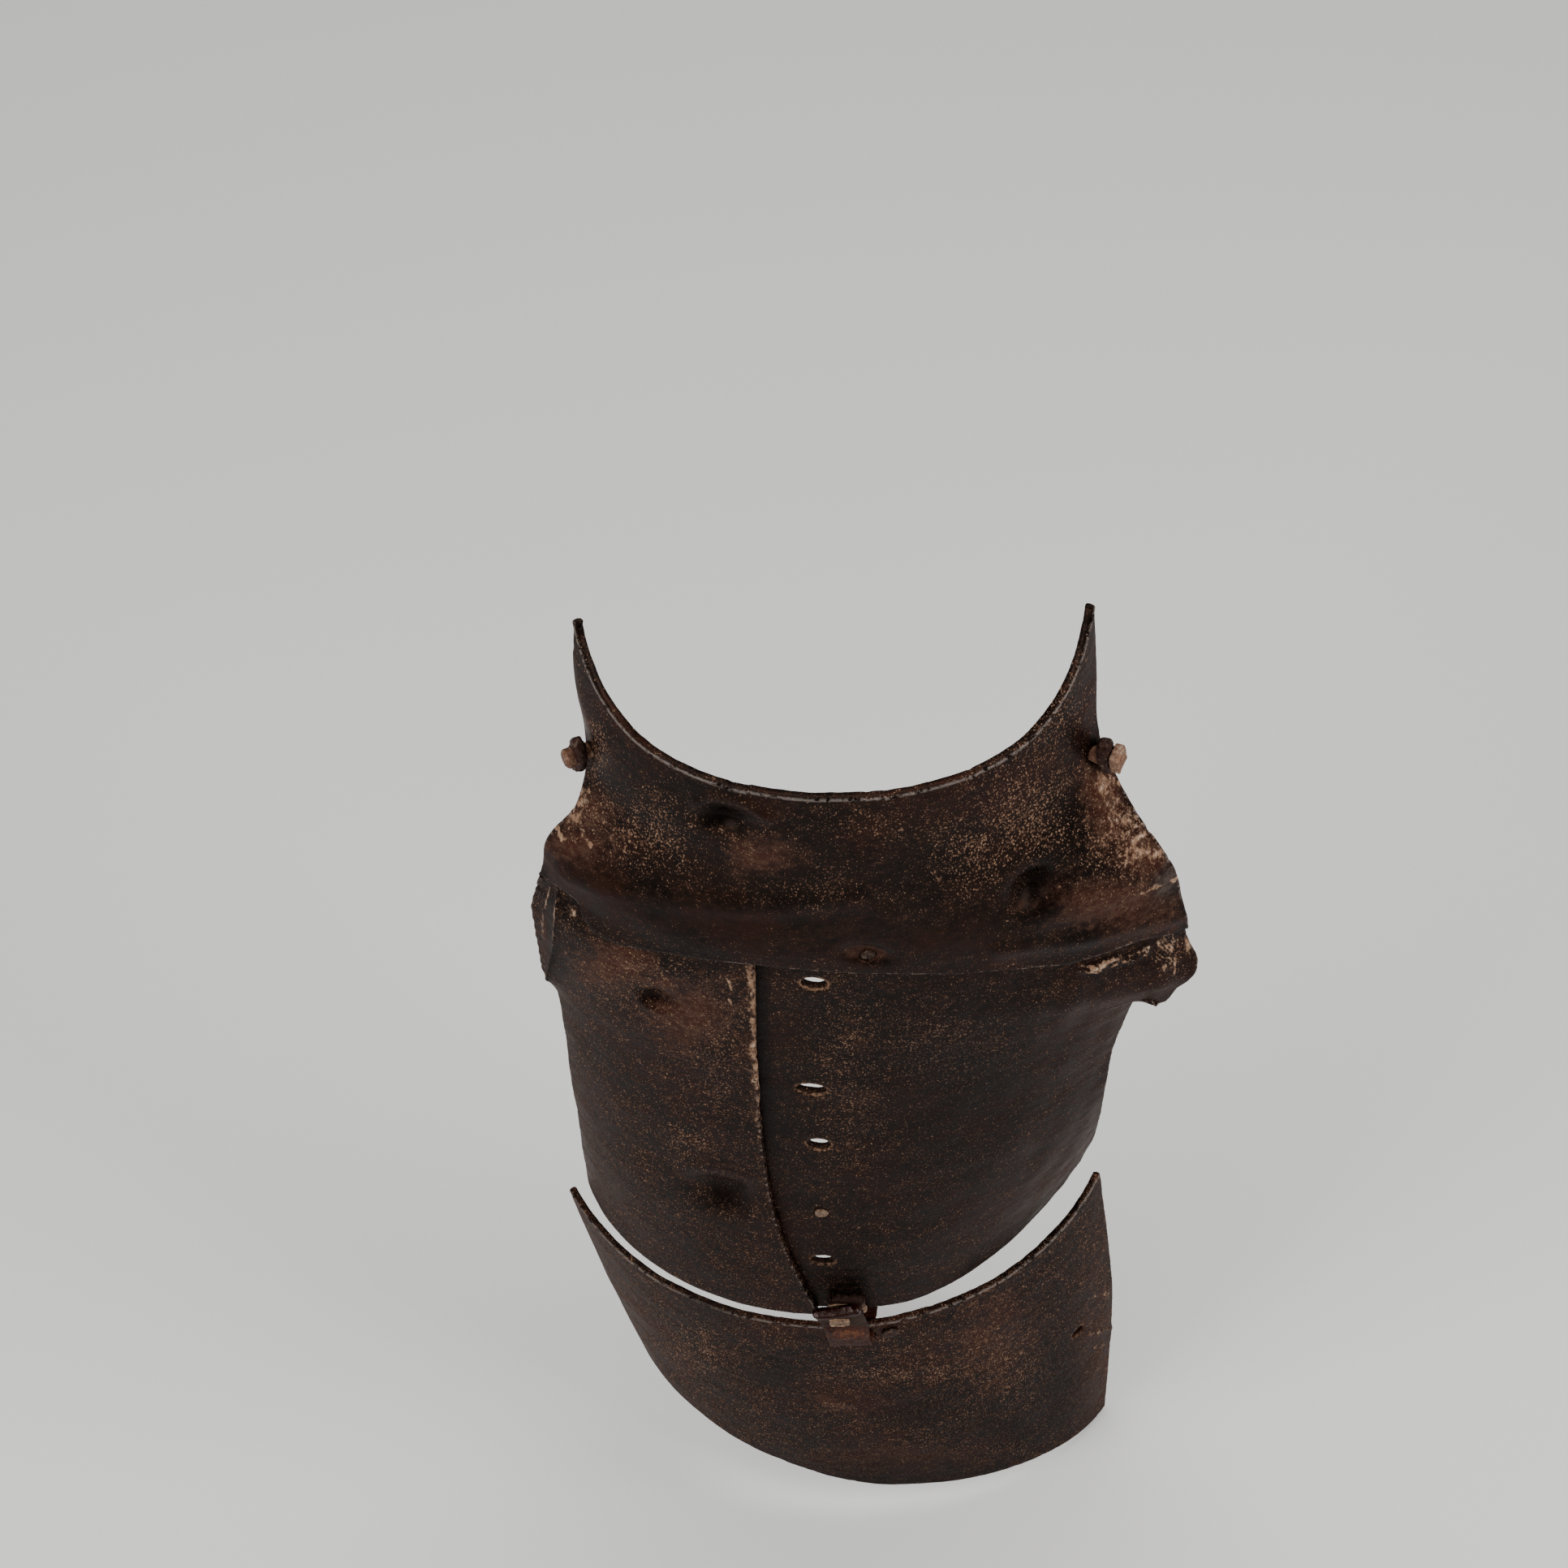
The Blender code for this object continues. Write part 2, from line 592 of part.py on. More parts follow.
def add_hook(right, rust, parts, cutters):
    """The strap, the pad under its outer leg and the square rivet through them and the plate."""
    strap = add_sheet("hook_strap", (-1, 1), range(len(hook_bends())), on_hook, parts, rust)
    thicken(strap, HOOK_STRAP, 0)
    pad_columns, pad_rows = spread(PAD_LEFT, PAD_RIGHT, 4), spread(PAD_TOP, PAD_FOOT, 2)
    pad = add_sheet("hook_pad", pad_columns, pad_rows, on_pad, parts, rust)
    thicken(pad, PLATE)
    matrix = frame_along(Vector((HOOK_RIVET_X, 0, WAIST_Z + HOOK_RIVET_RISE)), Vector((0, -1, 0)))
    tip, knee = hook_bends()[:2]
    lean = (knee.y - tip.y) / (tip.z - knee.z)
    face = (matrix.translation.z - tip.z) * lean - tip.y + HOOK_STRAP / 2
    seat = -WAIST_BACK_Y - GAP
    shank = HOOK_RIVET_HALF_SHANK
    wide, tall = HOOK_RIVET_HALF_WIDTH, HOOK_RIVET_HALF_HEIGHT
    under = -tip.y - HOOK_STRAP / 2
    head = HOOK_RIVET_HALF_HEAD
    profile = ((head, head, seat - RIVET_HEAD, 0), (head, head, seat, 0), (shank, shank, seat, 0))
    profile += ((shank, shank, under, 0), (wide, tall, under, 0), (wide, tall, face + HOOK_RIVET_PROUD, lean))
    rivet = add_solid("hook_rivet", SQUARE, profile, matrix, parts, rust)
    soften(rivet, FINE_BEVEL)
    room = shank + GAP
    add_cutter("hook_shank", SQUARE, ((room, room, seat - HOLE_REACH, 0), (room, room, under, 0)), matrix,
               cutters, (right, pad))
    wide, tall = wide + GAP, tall + GAP
    head = ((wide, tall, under - GAP, 0), (wide, tall, face + HOLE_REACH, 0))
    add_cutter("hook_head", SQUARE, head, matrix, cutters, (strap,))


def add_apron(iron, rust, parts, cutters):
    """The apron plate and its bolt, on an empty that stands on the axis it swings about."""
    columns = spread(-1, 1, APRON_COLUMNS)
    apron = add_sheet("apron_plate", columns, spread(0, 1, APRON_ROWS), on_apron, parts, iron)
    thicken(apron, APRON_PLATE)
    slot = ((SLOT_HALF_WIDTH, (SLOT_RISE + SLOT_FALL) / 2, -HOLE_REACH, 0),
            (SLOT_HALF_WIDTH, (SLOT_RISE + SLOT_FALL) / 2, HOLE_REACH, 0))
    middle = Vector((SLOT_X, APRON_FACE_Y, HINGE_Z + (SLOT_RISE - SLOT_FALL) / 2))
    add_cutter("apron_slot", SQUARE, slot, frame_along(middle, Vector((0, -1, 0))), cutters, (apron,))
    hole = frame_along(on_apron(APRON_HOLE.across, APRON_HOLE.level),
                       surface_normal(on_apron, APRON_HOLE.across, APRON_HOLE.level))
    cut_hole(APRON_HOLE.name, APRON_HOLE_RADIUS, hole, cutters, (apron,))
    place = frame_along(on_apron(APRON_BOLT.across, APRON_BOLT.level),
                        surface_normal(on_apron, APRON_BOLT.across, APRON_BOLT.level))
    shank, head, seat = APRON_BOLT_RADIUS, APRON_BOLT_HEAD_RADIUS, -APRON_PLATE - 2 * GAP
    profile = turned((head, seat - RIVET_HEAD), (head, seat), (shank, seat), (shank, APRON_BOLT_PROUD - GAP),
                     (shank * HEAD_CROWN, APRON_BOLT_PROUD))
    bolt = add_solid(APRON_BOLT.name, ROUND, profile, place, parts, rust)
    cut_hole(APRON_BOLT.name, shank + GAP, place, cutters, (apron,))
    pivot = bpy.data.objects.new("apron_swing", None)
    pivot.location = (SLOT_X, HINGE_Y, HINGE_Z)
    parts.objects.link(pivot)
    for thing in (apron, bolt):
        thing.parent = pivot
        thing.matrix_parent_inverse = Matrix.Translation(pivot.location).inverted()


def main():
    for thing in list(bpy.data.objects):
        bpy.data.objects.remove(thing, do_unlink=True)
    parts = bpy.data.collections.new("Iron breastplate")
    cutters = bpy.data.collections.new("Cutters")
    for collection in (parts, cutters):
        bpy.context.scene.collection.children.link(collection)
    iron = make_material("plate_iron", IRON, 0.45, 0.9)
    rust = make_material("rusted_iron", RUST, 0.7, 0.6)
    neck, left, right = add_plates(parts, iron)
    add_plate_rivets(neck, left, right, rust, parts, cutters)
    add_shoulder_bolt(SHOULDER_LEFT, neck, False, rust, parts, cutters)
    add_shoulder_bolt(SHOULDER_RIGHT, neck, True, rust, parts, cutters)
    add_hook(right, rust, parts, cutters)
    add_apron(iron, rust, parts, cutters)


main()
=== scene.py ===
"""The looks of the steel breastplate: old, rubbed plates with painted shade and painted sheen, hook, bolts,
floor, light and camera.
"""
import math

import bmesh
import bpy
import numpy as np
from mathutils import Matrix, Vector, noise


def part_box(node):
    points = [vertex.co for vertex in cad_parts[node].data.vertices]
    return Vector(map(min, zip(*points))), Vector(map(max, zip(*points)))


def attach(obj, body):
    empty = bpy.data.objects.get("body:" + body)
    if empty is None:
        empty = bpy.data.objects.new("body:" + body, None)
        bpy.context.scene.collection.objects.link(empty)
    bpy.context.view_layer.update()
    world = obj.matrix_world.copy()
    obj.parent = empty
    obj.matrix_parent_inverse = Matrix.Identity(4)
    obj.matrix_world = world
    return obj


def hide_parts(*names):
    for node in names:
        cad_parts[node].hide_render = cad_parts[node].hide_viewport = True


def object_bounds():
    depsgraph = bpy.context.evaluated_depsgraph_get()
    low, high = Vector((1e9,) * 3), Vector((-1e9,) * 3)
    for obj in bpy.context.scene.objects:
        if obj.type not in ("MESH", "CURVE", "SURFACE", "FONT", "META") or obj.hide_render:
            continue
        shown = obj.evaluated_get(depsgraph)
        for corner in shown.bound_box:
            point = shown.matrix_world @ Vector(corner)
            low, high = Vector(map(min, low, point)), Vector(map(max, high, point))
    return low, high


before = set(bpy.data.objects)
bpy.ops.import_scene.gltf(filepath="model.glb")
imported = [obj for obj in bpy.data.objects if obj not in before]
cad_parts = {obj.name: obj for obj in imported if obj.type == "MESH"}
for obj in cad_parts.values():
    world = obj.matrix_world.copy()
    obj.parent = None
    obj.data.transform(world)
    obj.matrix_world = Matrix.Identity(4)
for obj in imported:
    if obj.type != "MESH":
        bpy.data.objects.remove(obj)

cad_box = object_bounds()
MM = 0.001

# Camera, with its frame and focal length in the photograph's pixels
FRAME = 1932
FOCAL = 4900.0
SENSOR_MM, FAR = 36, 50
ELEVATION, AZIMUTH = math.radians(57.5), math.radians(-2.5)
CAMERA_AT = np.array((-0.0751, -1.0645, 1.6443))
BACK = np.array((math.sin(AZIMUTH) * math.cos(ELEVATION), -math.cos(AZIMUTH) * math.cos(ELEVATION),
                 math.sin(ELEVATION)))
RIGHT = np.array((math.cos(AZIMUTH), math.sin(AZIMUTH), 0.0))
UP = np.cross(BACK, RIGHT)


def add_camera():
    data = bpy.data.cameras.new("photo_camera")
    data.sensor_width = SENSOR_MM
    data.lens = FOCAL / FRAME * SENSOR_MM
    data.clip_end = FAR
    camera = bpy.data.objects.new("photo_camera", data)
    bpy.context.scene.collection.objects.link(camera)
    rows = [(RIGHT[i], UP[i], BACK[i], CAMERA_AT[i]) for i in range(3)]
    camera.matrix_world = Matrix(rows + [(0, 0, 0, 1)])
    bpy.context.scene.camera = camera


def to_photo(points):
    """Where points fall in the photograph, in its pixels."""
    away = points - CAMERA_AT
    depth = -(away @ BACK)
    return FRAME / 2 + FOCAL * (away @ RIGHT) / depth, FRAME / 2 - FOCAL * (away @ UP) / depth


# The plates' surface, as in the solids
PLATE, APRON_PLATE, GAP = 5.0 * MM, 4.5 * MM, 0.3 * MM
LAYER = PLATE + GAP
NECK_HALF_WIDTH, WING_HALF_WIDTH, WAIST_HALF_WIDTH = 122 * MM, 175 * MM, 153 * MM
COLLAR_HEIGHT, LOWER_HEIGHT, TIP_RISE = 158 * MM, 382 * MM, 60 * MM
NECK_DEPTH, WAIST_DEPTH, BELLY_REACH = 68 * MM, 98 * MM, 24 * MM
SEAM_OFFSET, COLLAR_LAP, SEAM_LAP = 49 * MM, 33 * MM, 28 * MM
APRON_HALF_WIDTH, APRON_HEIGHT, APRON_DEPTH, APRON_LEAN = 160 * MM, 246 * MM, 98 * MM, 30 * MM
APRON_WRAP = math.radians(68)

# Columns: level, share of the belly's reach, share of the seam's offset
MIDDLE = np.array((
    (0.00, 0.00, 1.00), (0.45, 0.20, 1.00), (0.80, 0.46, 1.00), (1.00, 0.48, 1.00),
    (1.30, 0.58, 0.98), (1.60, 0.74, 0.88), (1.80, 0.92, 0.66), (2.00, 1.00, 0.27)))
# Columns: level, share of the way out to the wing, depth, lift, how late it lifts, degrees of wrap
LEFT_EDGE = np.array((
    (0.00, 0.16, 1.02, 1.00, 3.6, 80), (0.22, 0.18, 1.01, 0.88, 3.2, 80), (0.45, 0.12, 0.98, 0.60, 2.6, 78),
    (0.62, 0.24, 0.88, 0.42, 2.0, 74), (0.80, 0.56, 0.92, 0.32, 1.5, 72), (1.00, 0.66, 0.93, 0.30, 1.3, 70),
    (1.05, 0.60, 0.64, 0.24, 1.3, 69), (1.15, 0.45, 0.62, 0.10, 1.4, 68), (1.30, 0.23, 0.66, 0.00, 2.0, 68),
    (1.60, 0.12, 0.78, 0.00, 2.0, 72), (2.00, 0.00, 1.00, 0.00, 2.0, 76)))
RIGHT_EDGE = np.array((
    (0.00, -0.08, 0.98, 1.00, 3.6, 80), (0.22, 0.00, 0.98, 0.85, 3.2, 80), (0.45, 0.08, 0.86, 0.60, 2.6, 76),
    (0.62, 0.43, 0.70, 0.30, 2.2, 62), (0.80, 0.88, 0.61, 0.00, 1.8, 50), (1.00, 1.14, 0.57, -0.52, 1.6, 45),
    (1.08, 1.72, 0.37, -0.49, 1.6, 45), (1.13, 1.50, 0.34, -0.44, 1.8, 46),
    (1.19, 0.62, 0.34, -0.32, 2.0, 47),
    (1.35, 0.14, 0.43, -0.14, 2.0, 50), (1.60, 0.04, 0.54, 0.00, 2.0, 50), (1.80, 0.18, 0.77, 0.00, 2.0, 42),
    (2.00, 0.08, 1.00, 0.00, 2.0, 36)))
# Dents: across, level, radius and depth in mm, how much taller than wide
DENTS = ((-0.10, 0.18, 16, 4.5, 0.9), (0.635, 0.67, 13, 6.0, 1.2), (-0.36, 1.13, 13, 4.0, 0.9),
         (-0.19, 1.65, 20, 6.0, 1.1))
# Columns: level, lean, half width left and right, depth left and right, rise left and right, how late
APRON_TABLE = np.array((
    (0.0, 0.15, 1.02, 0.99, 1.02, 0.88, 0.00, 0.09, 1.60),
    (0.5, 0.65, 1.00, 1.00, 0.94, 0.78, 0.09, 0.01, 1.35),
    (1.0, 1.30, 0.98, 0.91, 0.79, 0.64, 0.235, -0.118, 1.10)))
SHOULDERS = {"left": (-0.93, 0.43), "right": (0.94, 0.44)}
DENT_GROWTH, SEAM_BLEND = 0.06, 0.35

# The columns of the edge tables, of the middle and of the apron
WIDTH, DEPTH, LIFT, LATE, WRAP = range(1, 6)
FORWARD, SEAM = 1, 2
LEAN, HALF, DEEP, RISE, LATE_RISE = 1, 2, 4, 6, 8


def curve(table, column, at):
    """A column of a table, on a smooth curve through its rows."""
    levels, values = table[:, 0], table[:, column]
    last = len(levels) - 1
    low = np.clip(np.searchsorted(levels, at, side="right") - 1, 0, last - 1)
    before, after = np.maximum(low - 1, 0), np.minimum(low + 2, last)
    span = levels[low + 1] - levels[low]
    share = (at - levels[low]) / span
    start, end = values[low], values[low + 1]
    slope_in = (end - values[before]) / (levels[low + 1] - levels[before]) * span
    slope_out = (values[after] - start) / (levels[after] - levels[low]) * span
    square, cube = share ** 2, share ** 3
    return ((2 * cube - 3 * square + 1) * start + (cube - 2 * square + share) * slope_in
            + (3 * square - 2 * cube) * end + (cube - square) * slope_out)


def ramp(value, low, high):
    """Goes smoothly from 0 to 1 as value goes from low to high."""
    share = np.clip((value - low) / (high - low), 0, 1)
    return share * share * (3 - 2 * share)


def edge_sizes(edge):
    """An edge table in metres and radians, from its shares of the driving sizes."""
    sizes = edge.copy()
    upper = edge[:, 0] <= 1
    narrow = np.where(upper, NECK_HALF_WIDTH, WAIST_HALF_WIDTH)
    sizes[:, WIDTH] = narrow + (WING_HALF_WIDTH - narrow) * edge[:, WIDTH]
    sizes[:, DEPTH] = np.where(upper, NECK_DEPTH, WAIST_DEPTH) * edge[:, DEPTH]
    sizes[:, LIFT] = TIP_RISE * edge[:, LIFT]
    sizes[:, WRAP] = np.radians(edge[:, WRAP])
    return sizes


LEFT_SIZES, RIGHT_SIZES = edge_sizes(LEFT_EDGE), edge_sizes(RIGHT_EDGE)


def bare_skin(across, level):
    """The surface without dents. across goes from -1 to 1, and level from 0 at the top to 2 at the waist."""
    across, level = np.broadcast_arrays(np.asarray(across, float), np.asarray(level, float))
    wrap, width = curve(LEFT_SIZES, WRAP, level), curve(LEFT_SIZES, WIDTH, level)
    seam = SEAM_OFFSET * curve(MIDDLE, SEAM, level)
    seam = -np.arcsin(np.minimum(seam / width * np.sin(wrap), 1)) / wrap
    turn = np.where(across < 0, seam + across * (1 + seam), seam + across * (1 - seam))

    def size(column):
        return np.where(turn < 0, curve(LEFT_SIZES, column, level), curve(RIGHT_SIZES, column, level))
    wrap = size(WRAP)
    angle = np.abs(turn) * wrap
    x = size(WIDTH) * np.sin(angle) / np.sin(wrap)
    back = size(DEPTH) * (1 - np.cos(angle)) / (1 - np.cos(wrap))
    lift = size(LIFT) * np.abs(turn) ** size(LATE)
    drop = np.where(level <= 1, level * COLLAR_HEIGHT, COLLAR_HEIGHT + (level - 1) * LOWER_HEIGHT)
    forward = BELLY_REACH * curve(MIDDLE, FORWARD, level)
    return np.stack((np.copysign(x, turn), back - forward, lift - drop), axis=-1)


def unit(vectors):
    return vectors / np.maximum(np.linalg.norm(vectors, axis=-1, keepdims=True), 1e-12)


def surface_normal(place, across, level, step=0.004):
    sideways = place(across + step, level) - place(across - step, level)
    down = place(across, level + step) - place(across, level - step)
    return unit(np.cross(down, sideways))


ORIGIN = (bare_skin(*SHOULDERS["left"]) + bare_skin(*SHOULDERS["right"])) / 2


def on_skin(across, level, depth=0.0):
    """Points a given depth under the skin, dents and all."""
    point, normal = bare_skin(across, level), surface_normal(bare_skin, across, level)
    push = 0
    for at_across, at_level, radius, deep, tall in DENTS:
        away = point - bare_skin(at_across, at_level)
        reach = np.hypot(np.hypot(away[..., 0], away[..., 1]), away[..., 2] / tall) / (radius * MM)
        push = push + deep * MM * np.exp(-reach ** 2 * 2)
    push = push * (1 + DENT_GROWTH * depth / LAYER) + depth
    return point - normal * push[..., None] - ORIGIN


def right_depth(across):
    """The right plate lies two layers down at the seam, under the left plate, and one further out."""
    return LAYER * (2 - ramp(np.asarray(across, float), 0, SEAM_BLEND))


def apron_point(across, level):
    across, level = np.broadcast_arrays(np.asarray(across, float), np.asarray(level, float))

    def size(column):
        return curve(APRON_TABLE, column, level)

    def by_side(column):
        return np.where(across < 0, size(column), size(column + 1))
    angle = np.abs(across) * APRON_WRAP
    x = APRON_HALF_WIDTH * by_side(HALF) * np.sin(angle) / math.sin(APRON_WRAP)
    back = APRON_DEPTH * by_side(DEEP) * (1 - np.cos(angle)) / (1 - math.cos(APRON_WRAP))
    rise = APRON_HEIGHT * by_side(RISE) * np.abs(across) ** size(LATE_RISE)
    middle = APRON_LEAN * size(LEAN)
    return np.stack((middle + np.copysign(x, across), back, rise - level * APRON_HEIGHT), axis=-1)


HOOK_MIDDLE, HOOK_ACROSS = 0.155, np.linspace(0, 0.18, 9)
APRON_FORWARD, RIM_DROP, HINGE_DROP = 3.6 * MM, 18 * MM, 13 * MM
WAIST_Z = float(on_skin(HOOK_MIDDLE, 2)[2])
WAIST_FACE_Y = float(on_skin(HOOK_ACROSS, 2, right_depth(HOOK_ACROSS))[:, 1].min())
APRON_FACE_Y = WAIST_FACE_Y - APRON_FORWARD
RIM_Z = WAIST_Z - RIM_DROP
HINGE_Z = RIM_Z - HINGE_DROP


def place_apron(across, level):
    return apron_point(across, level) + (0, APRON_FACE_Y, RIM_Z)


# Numbers spread over a surface
def fuzz(points, size, seed=0, octaves=3):
    """Smooth noise of about -1 to 1 at each point, whose largest lumps measure size."""
    flat = np.asarray(points, float).reshape(-1, 3) / size + seed * 7.31
    value = np.fromiter((noise.fractal(Vector(p), 0.6, 2.1, octaves) for p in flat), float, len(flat))
    return value.reshape(np.shape(points)[:-1])


class Photo:
    """Places on a surface by the photograph's pixels."""

    def __init__(self, points):
        self.u, self.v = to_photo(points)

    def spot(self, u, v, wide, tall, turn=0.0, hard=2.0):
        """1 at a pixel, falling to 0 past an ellipse around it. turn is in degrees, anticlockwise."""
        c, s = math.cos(math.radians(turn)), math.sin(math.radians(turn))
        x, y = self.u - u, -(self.v - v)
        a, b = (x * c + y * s) / wide, (y * c - x * s) / tall
        return np.exp(-(a * a + b * b) ** (hard / 2))

    def spots(self, *rows):
        return np.max([self.spot(*row) for row in rows], axis=0)

    def line(self, points, width, soft=2.0):
        """1 on a line of pixels, falling to 0 past its width."""
        best = np.full(self.u.shape, 1e9)
        for (u0, v0), (u1, v1) in zip(points, points[1:]):
            du, dv = u1 - u0, v1 - v0
            share = np.clip(((self.u - u0) * du + (self.v - v0) * dv) / (du * du + dv * dv), 0, 1)
            best = np.minimum(best, np.hypot(self.u - u0 - share * du, self.v - v0 - share * dv))
        return np.exp(-(best / width) ** soft)


# Shells
def grid_normals(points):
    down, sideways = np.gradient(points, axis=0), np.gradient(points, axis=1)
    return unit(np.cross(down, sideways))


def add_mesh(name, points, faces, marks):
    """A closed mesh with a number for each mark at each point. Points without faces are dropped."""
    mesh = bpy.data.meshes.new(name)
    mesh.from_pydata([tuple(p) for p in points], [], faces)
    mesh.validate()
    mesh.shade_smooth()
    for key, values in marks.items():
        mark = mesh.attributes.new(key, "FLOAT", "POINT")
        mark.data.foreach_set("value", np.asarray(values, np.float32))
    shape = bmesh.new()
    shape.from_mesh(mesh)
    bmesh.ops.delete(shape, geom=[v for v in shape.verts if not v.link_faces], context="VERTS")
    bmesh.ops.recalc_face_normals(shape, faces=shape.faces)
    shape.to_mesh(mesh)
    shape.free()
    thing = bpy.data.objects.new(name, mesh)
    bpy.context.scene.collection.objects.link(thing)
    return thing


def dress(thing, node, material, body="breastplate"):
    """Gives a piece its material, puts it on its named body and hides the node that it replaces."""
    thing.data.materials.append(material)
    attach(thing, body)
    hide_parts(node)


def boundary(rows, columns):
    """Grid places round the rim, in order."""
    loop = [(0, j) for j in range(columns)] + [(i, columns - 1) for i in range(1, rows)]
    loop += [(rows - 1, j) for j in range(columns - 2, -1, -1)] + [(i, 0) for i in range(rows - 2, 0, -1)]
    return np.array(loop).T


def rim_reach(outer):
    """How far each point of a grid lies from its four sides: top, bottom, left, right."""
    down = np.linalg.norm(np.diff(outer, axis=0), axis=-1)
    sideways = np.linalg.norm(np.diff(outer, axis=1), axis=-1)
    top = np.vstack((np.zeros((1, outer.shape[1])), np.cumsum(down, axis=0)))
    left = np.hstack((np.zeros((outer.shape[0], 1)), np.cumsum(sideways, axis=1)))
    return top, top[-1] - top, left, left[:, -1:] - left


def outward(outer, normal, li, lj):
    rows, columns = outer.shape[:2]
    step = outer[li, lj] - outer[np.clip(li, 1, rows - 2), np.clip(lj, 1, columns - 2)]
    along = np.roll(outer[li, lj], -1, axis=0) - np.roll(outer[li, lj], 1, axis=0)
    out = unit(np.cross(along, normal[li, lj]))
    return out * np.sign(np.sum(out * step, axis=-1))[:, None]


def fray(outer, normal, by, ragged, seed):
    """Draws the rim in by a small length, with wavy, slightly nicked edges."""
    rows, columns = outer.shape[:2]
    li, lj = boundary(rows, columns)
    out = outward(outer, normal, li, lj)
    at = outer[li, lj]
    wave = fuzz(at, 26 * MM, seed + 11, 3) * 0.55 + fuzz(at, 6 * MM, seed + 12, 3) * 0.35
    nick = ramp(fuzz(at, 11 * MM, seed + 13, 2), 0.34, 0.62)
    pull = np.zeros((rows, columns, 3))
    pull[li, lj] = -out * (by + ragged * (wave + 1.2 * nick + 0.3))[:, None]
    top, bottom, left, right = (np.exp(-reach / (5 * MM))[..., None] for reach in rim_reach(outer))
    return outer + top * pull[:1] + bottom * pull[-1:] + left * pull[:, :1] + right * pull[:, -1:]


def open_hole(outer, normal, centre, radius, wide):
    """Marks the quads inside a hole, and sets the points round it on its edge."""
    rows, columns = outer.shape[:2]
    centres = (outer[:-1, :-1] + outer[1:, :-1] + outer[:-1, 1:] + outer[1:, 1:]) / 4
    axis = normal[np.unravel_index(np.argmin(np.linalg.norm(outer - centre, axis=-1)), (rows, columns))]
    side = unit(np.cross(axis, (0, 0, 1.0)))
    tall = np.cross(axis, side)

    def flat(points):
        return (points - centre) @ side / wide, (points - centre) @ tall
    x, y = flat(outer)
    near = np.linalg.norm(centres - centre, axis=-1) < radius * 4
    gone = (np.hypot(*flat(centres)) < radius) & near
    corners = np.zeros((rows, columns), int)
    for di in (0, 1):
        for dj in (0, 1):
            corners[di:rows - 1 + di, dj:columns - 1 + dj] += gone
    reach = np.hypot(x, y)
    ragged = 1 + 0.07 * fuzz(outer, radius, 5, 2)
    pull = np.where((corners > 0) & (corners < 4), radius * ragged / np.maximum(reach, 1e-9), 1.0)
    moved = outer + (x * (pull - 1) * wide)[..., None] * side + (y * (pull - 1))[..., None] * tall
    away = np.where(np.linalg.norm(moved - centre, axis=-1) < radius * 6, reach * pull - radius, 1.0)
    return moved, gone, away


# Round holes from this radius up stand open, with rubbed edges. The top mark fades over a tenth of the
# height, and makes the bright rims commoner along the top rim, partly as painted highlight.
OPEN_RADIUS, SLOT_WIDE = 4.9 * MM, 1.9
EDGE_RINGS, TOP_FADE, BACK_SHARE = 5, 10, 0.25


